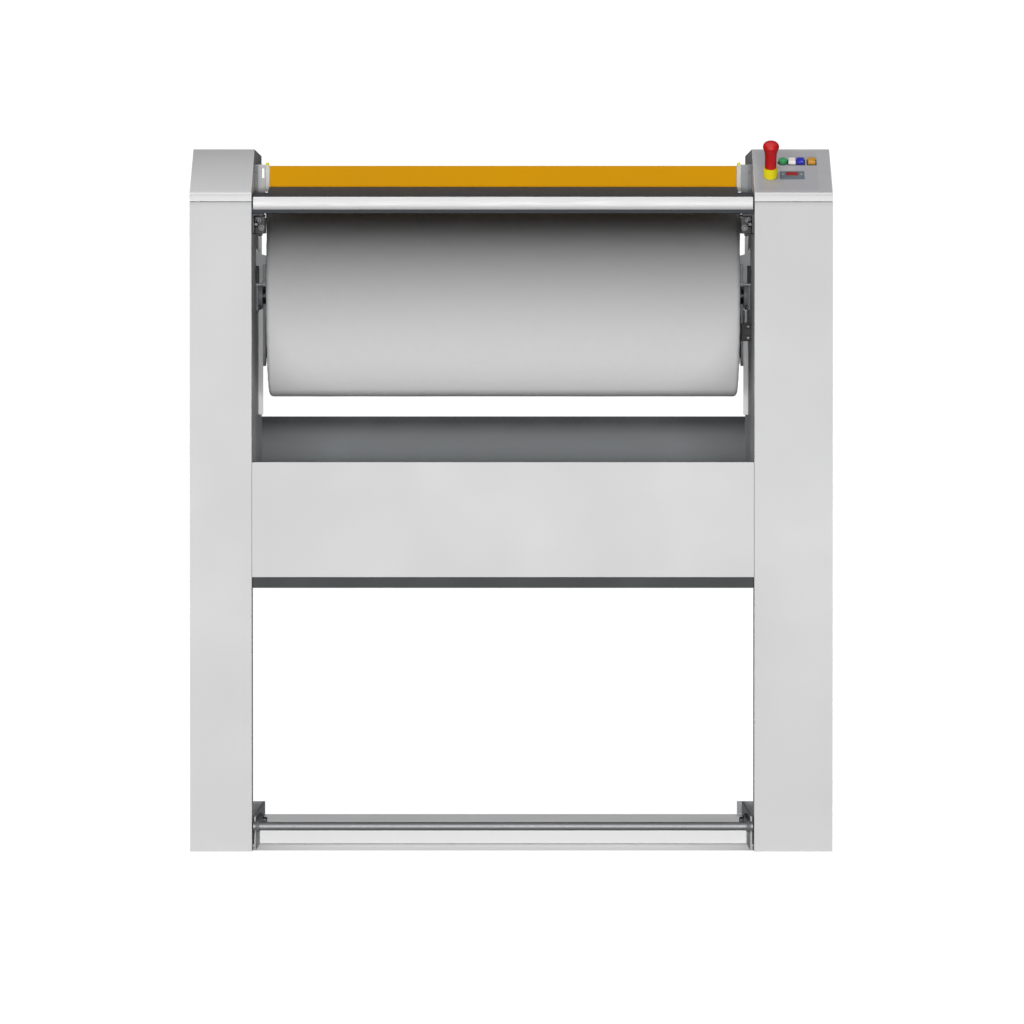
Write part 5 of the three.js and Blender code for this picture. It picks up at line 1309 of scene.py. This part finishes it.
floor_mesh.materials.append(named("pale studio floor"))
print("floor:", 2 * FLOOR_HALF, "m wide")

# %% Surround
SKY_SEEN, SKY_GIVEN = 1.05, 0.16
world = bpy.data.worlds.new("studio")
bpy.context.scene.world = world
world.use_nodes = True
sky = world.node_tree
sky.nodes.clear()
toward = add_node(sky, "ShaderNodeTexCoord").outputs["Generated"]
overhead = add_node(
    sky, "ShaderNodeMapRange",
    {"Value": add_node(sky, "ShaderNodeSeparateXYZ", {"Vector": toward}).outputs["Z"],
     "From Min": 0.3, "From Max": 0.8, "To Min": 0.0, "To Max": SKY_GIVEN},
    interpolation_type="SMOOTHSTEP",
).outputs["Result"]
background = add_node(
    sky, "ShaderNodeBackground",
    {"Color": colour(0xFFFFFF), "Strength": seen_and_given(sky, SKY_SEEN, overhead)},
)
add_node(sky, "ShaderNodeOutputWorld", {"Surface": background.outputs["Background"]})
print("surround:", SKY_SEEN, "to the camera, up to", SKY_GIVEN, "as light")

# %% A soft box


def soft_box(name, width, height, power, place, aim, pieces, state="INCLUDE", shaded_by=None):
    """An area light, in metres and watts, that lights only some pieces or, with EXCLUDE, all others."""
    light = bpy.data.lights.new(name, "AREA")
    light.shape = "RECTANGLE"
    light.size, light.size_y = width, height
    light.energy = power
    box = bpy.data.objects.new(name, light)
    box.location = place
    box.rotation_euler = (Vector(aim) - box.location).to_track_quat("-Z", "Y").to_euler()
    box.visible_camera = False
    bpy.context.scene.collection.objects.link(box)
    group = bpy.data.collections.new(name + " and what it lights")
    for piece in pieces:
        group.objects.link(piece)
    box.light_linking.receiver_collection = group
    for entry in group.collection_objects:
        entry.light_linking.link_state = state
    if shaded_by is not None:
        box.light_linking.blocker_collection = shaded_by


TOP_PIECES = ("top_cap", "button", "display", "stop", "control_overlay", "panel_foil", "e_stop",
              "guard", "finger", "feed_table", "post_tip")
on_top = [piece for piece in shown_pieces() if piece.name.startswith(TOP_PIECES)]
GAP_NODES = ("inner_cover", "bearing", "chest_arm", "foot_shoe")
for side in SIDES:
    in_the_gaps += [nodes[f"{name}_{side}"] for name in GAP_NODES]
in_the_gaps.append(nodes["base_pan"])
print("pieces on top:", len(on_top), "in the gaps:", len(in_the_gaps))

# %% Soft boxes in front and overhead
base_pan = nodes["base_pan"]
own_light = [roll_cloth, floor, base_pan]
only_the_floor = bpy.data.collections.new("what shades the gaps")
only_the_floor.objects.link(floor)
soft_box("front soft box", 4.5, 1.0, 306, (-0.1, -6.2, 0.52), (0, 0, 0.5), own_light, "EXCLUDE")
soft_box("overhead soft box", 3.0, 1.6, 14, (0, -0.1, 3.6), (0, -0.1, 0), own_light, "EXCLUDE")
soft_box("high soft box", 2.4, 0.5, 76, (-0.3, -2.6, 4.6), (0, 0, 0.9), on_top)
soft_box("low soft box for the roll", 2.6, 0.4, 29.5, (0, -1.0, 0.05), (0, -0.06, 0.9), [roll_cloth])
soft_box("front soft box for the gaps", 1.2, 1.2, 17, (0, -2.4, 0.95), (0, 0.1, 0.95), in_the_gaps,
         shaded_by=only_the_floor)
soft_box("front soft box for the base", 2.4, 0.4, 35, (0, -2.4, 0.3), (0, 0, 0.05), [base_pan],
         shaded_by=only_the_floor)

# %% Soft boxes at the sides and the back
at_the_back = [bpy.data.objects["rear_louvres"], roll_cloth]
at_the_back += [nodes[name] for name in ("chest_cover", "gear_motor", "tray_pan", "finger_guard")]
for side in SIDES:
    casing = [nodes[f"outer_cover_{side}"], bpy.data.objects[f"cover_screws_{side}"]]
    at_the_back += [*casing, nodes[f"side_frame_{side}"]]
    beside = (-5 * INWARD[side], 3.0, 1.8)
    soft_box(f"{side} soft box", 2.0, 2.0, 130, beside, (0, 0, 0.6), [*casing, nodes[f"top_cap_{side}"]])
soft_box("rear soft box", 3.0, 2.0, 110, (0.8, 5.5, 2.2), (0, 0, 0.6), at_the_back)
soft_box("rear soft box for the base", 3.0, 2.0, 40, (0, 5.5, 2.2), (0, 0, 0.1), [base_pan])
bpy.context.scene.view_settings.view_transform = "Standard"
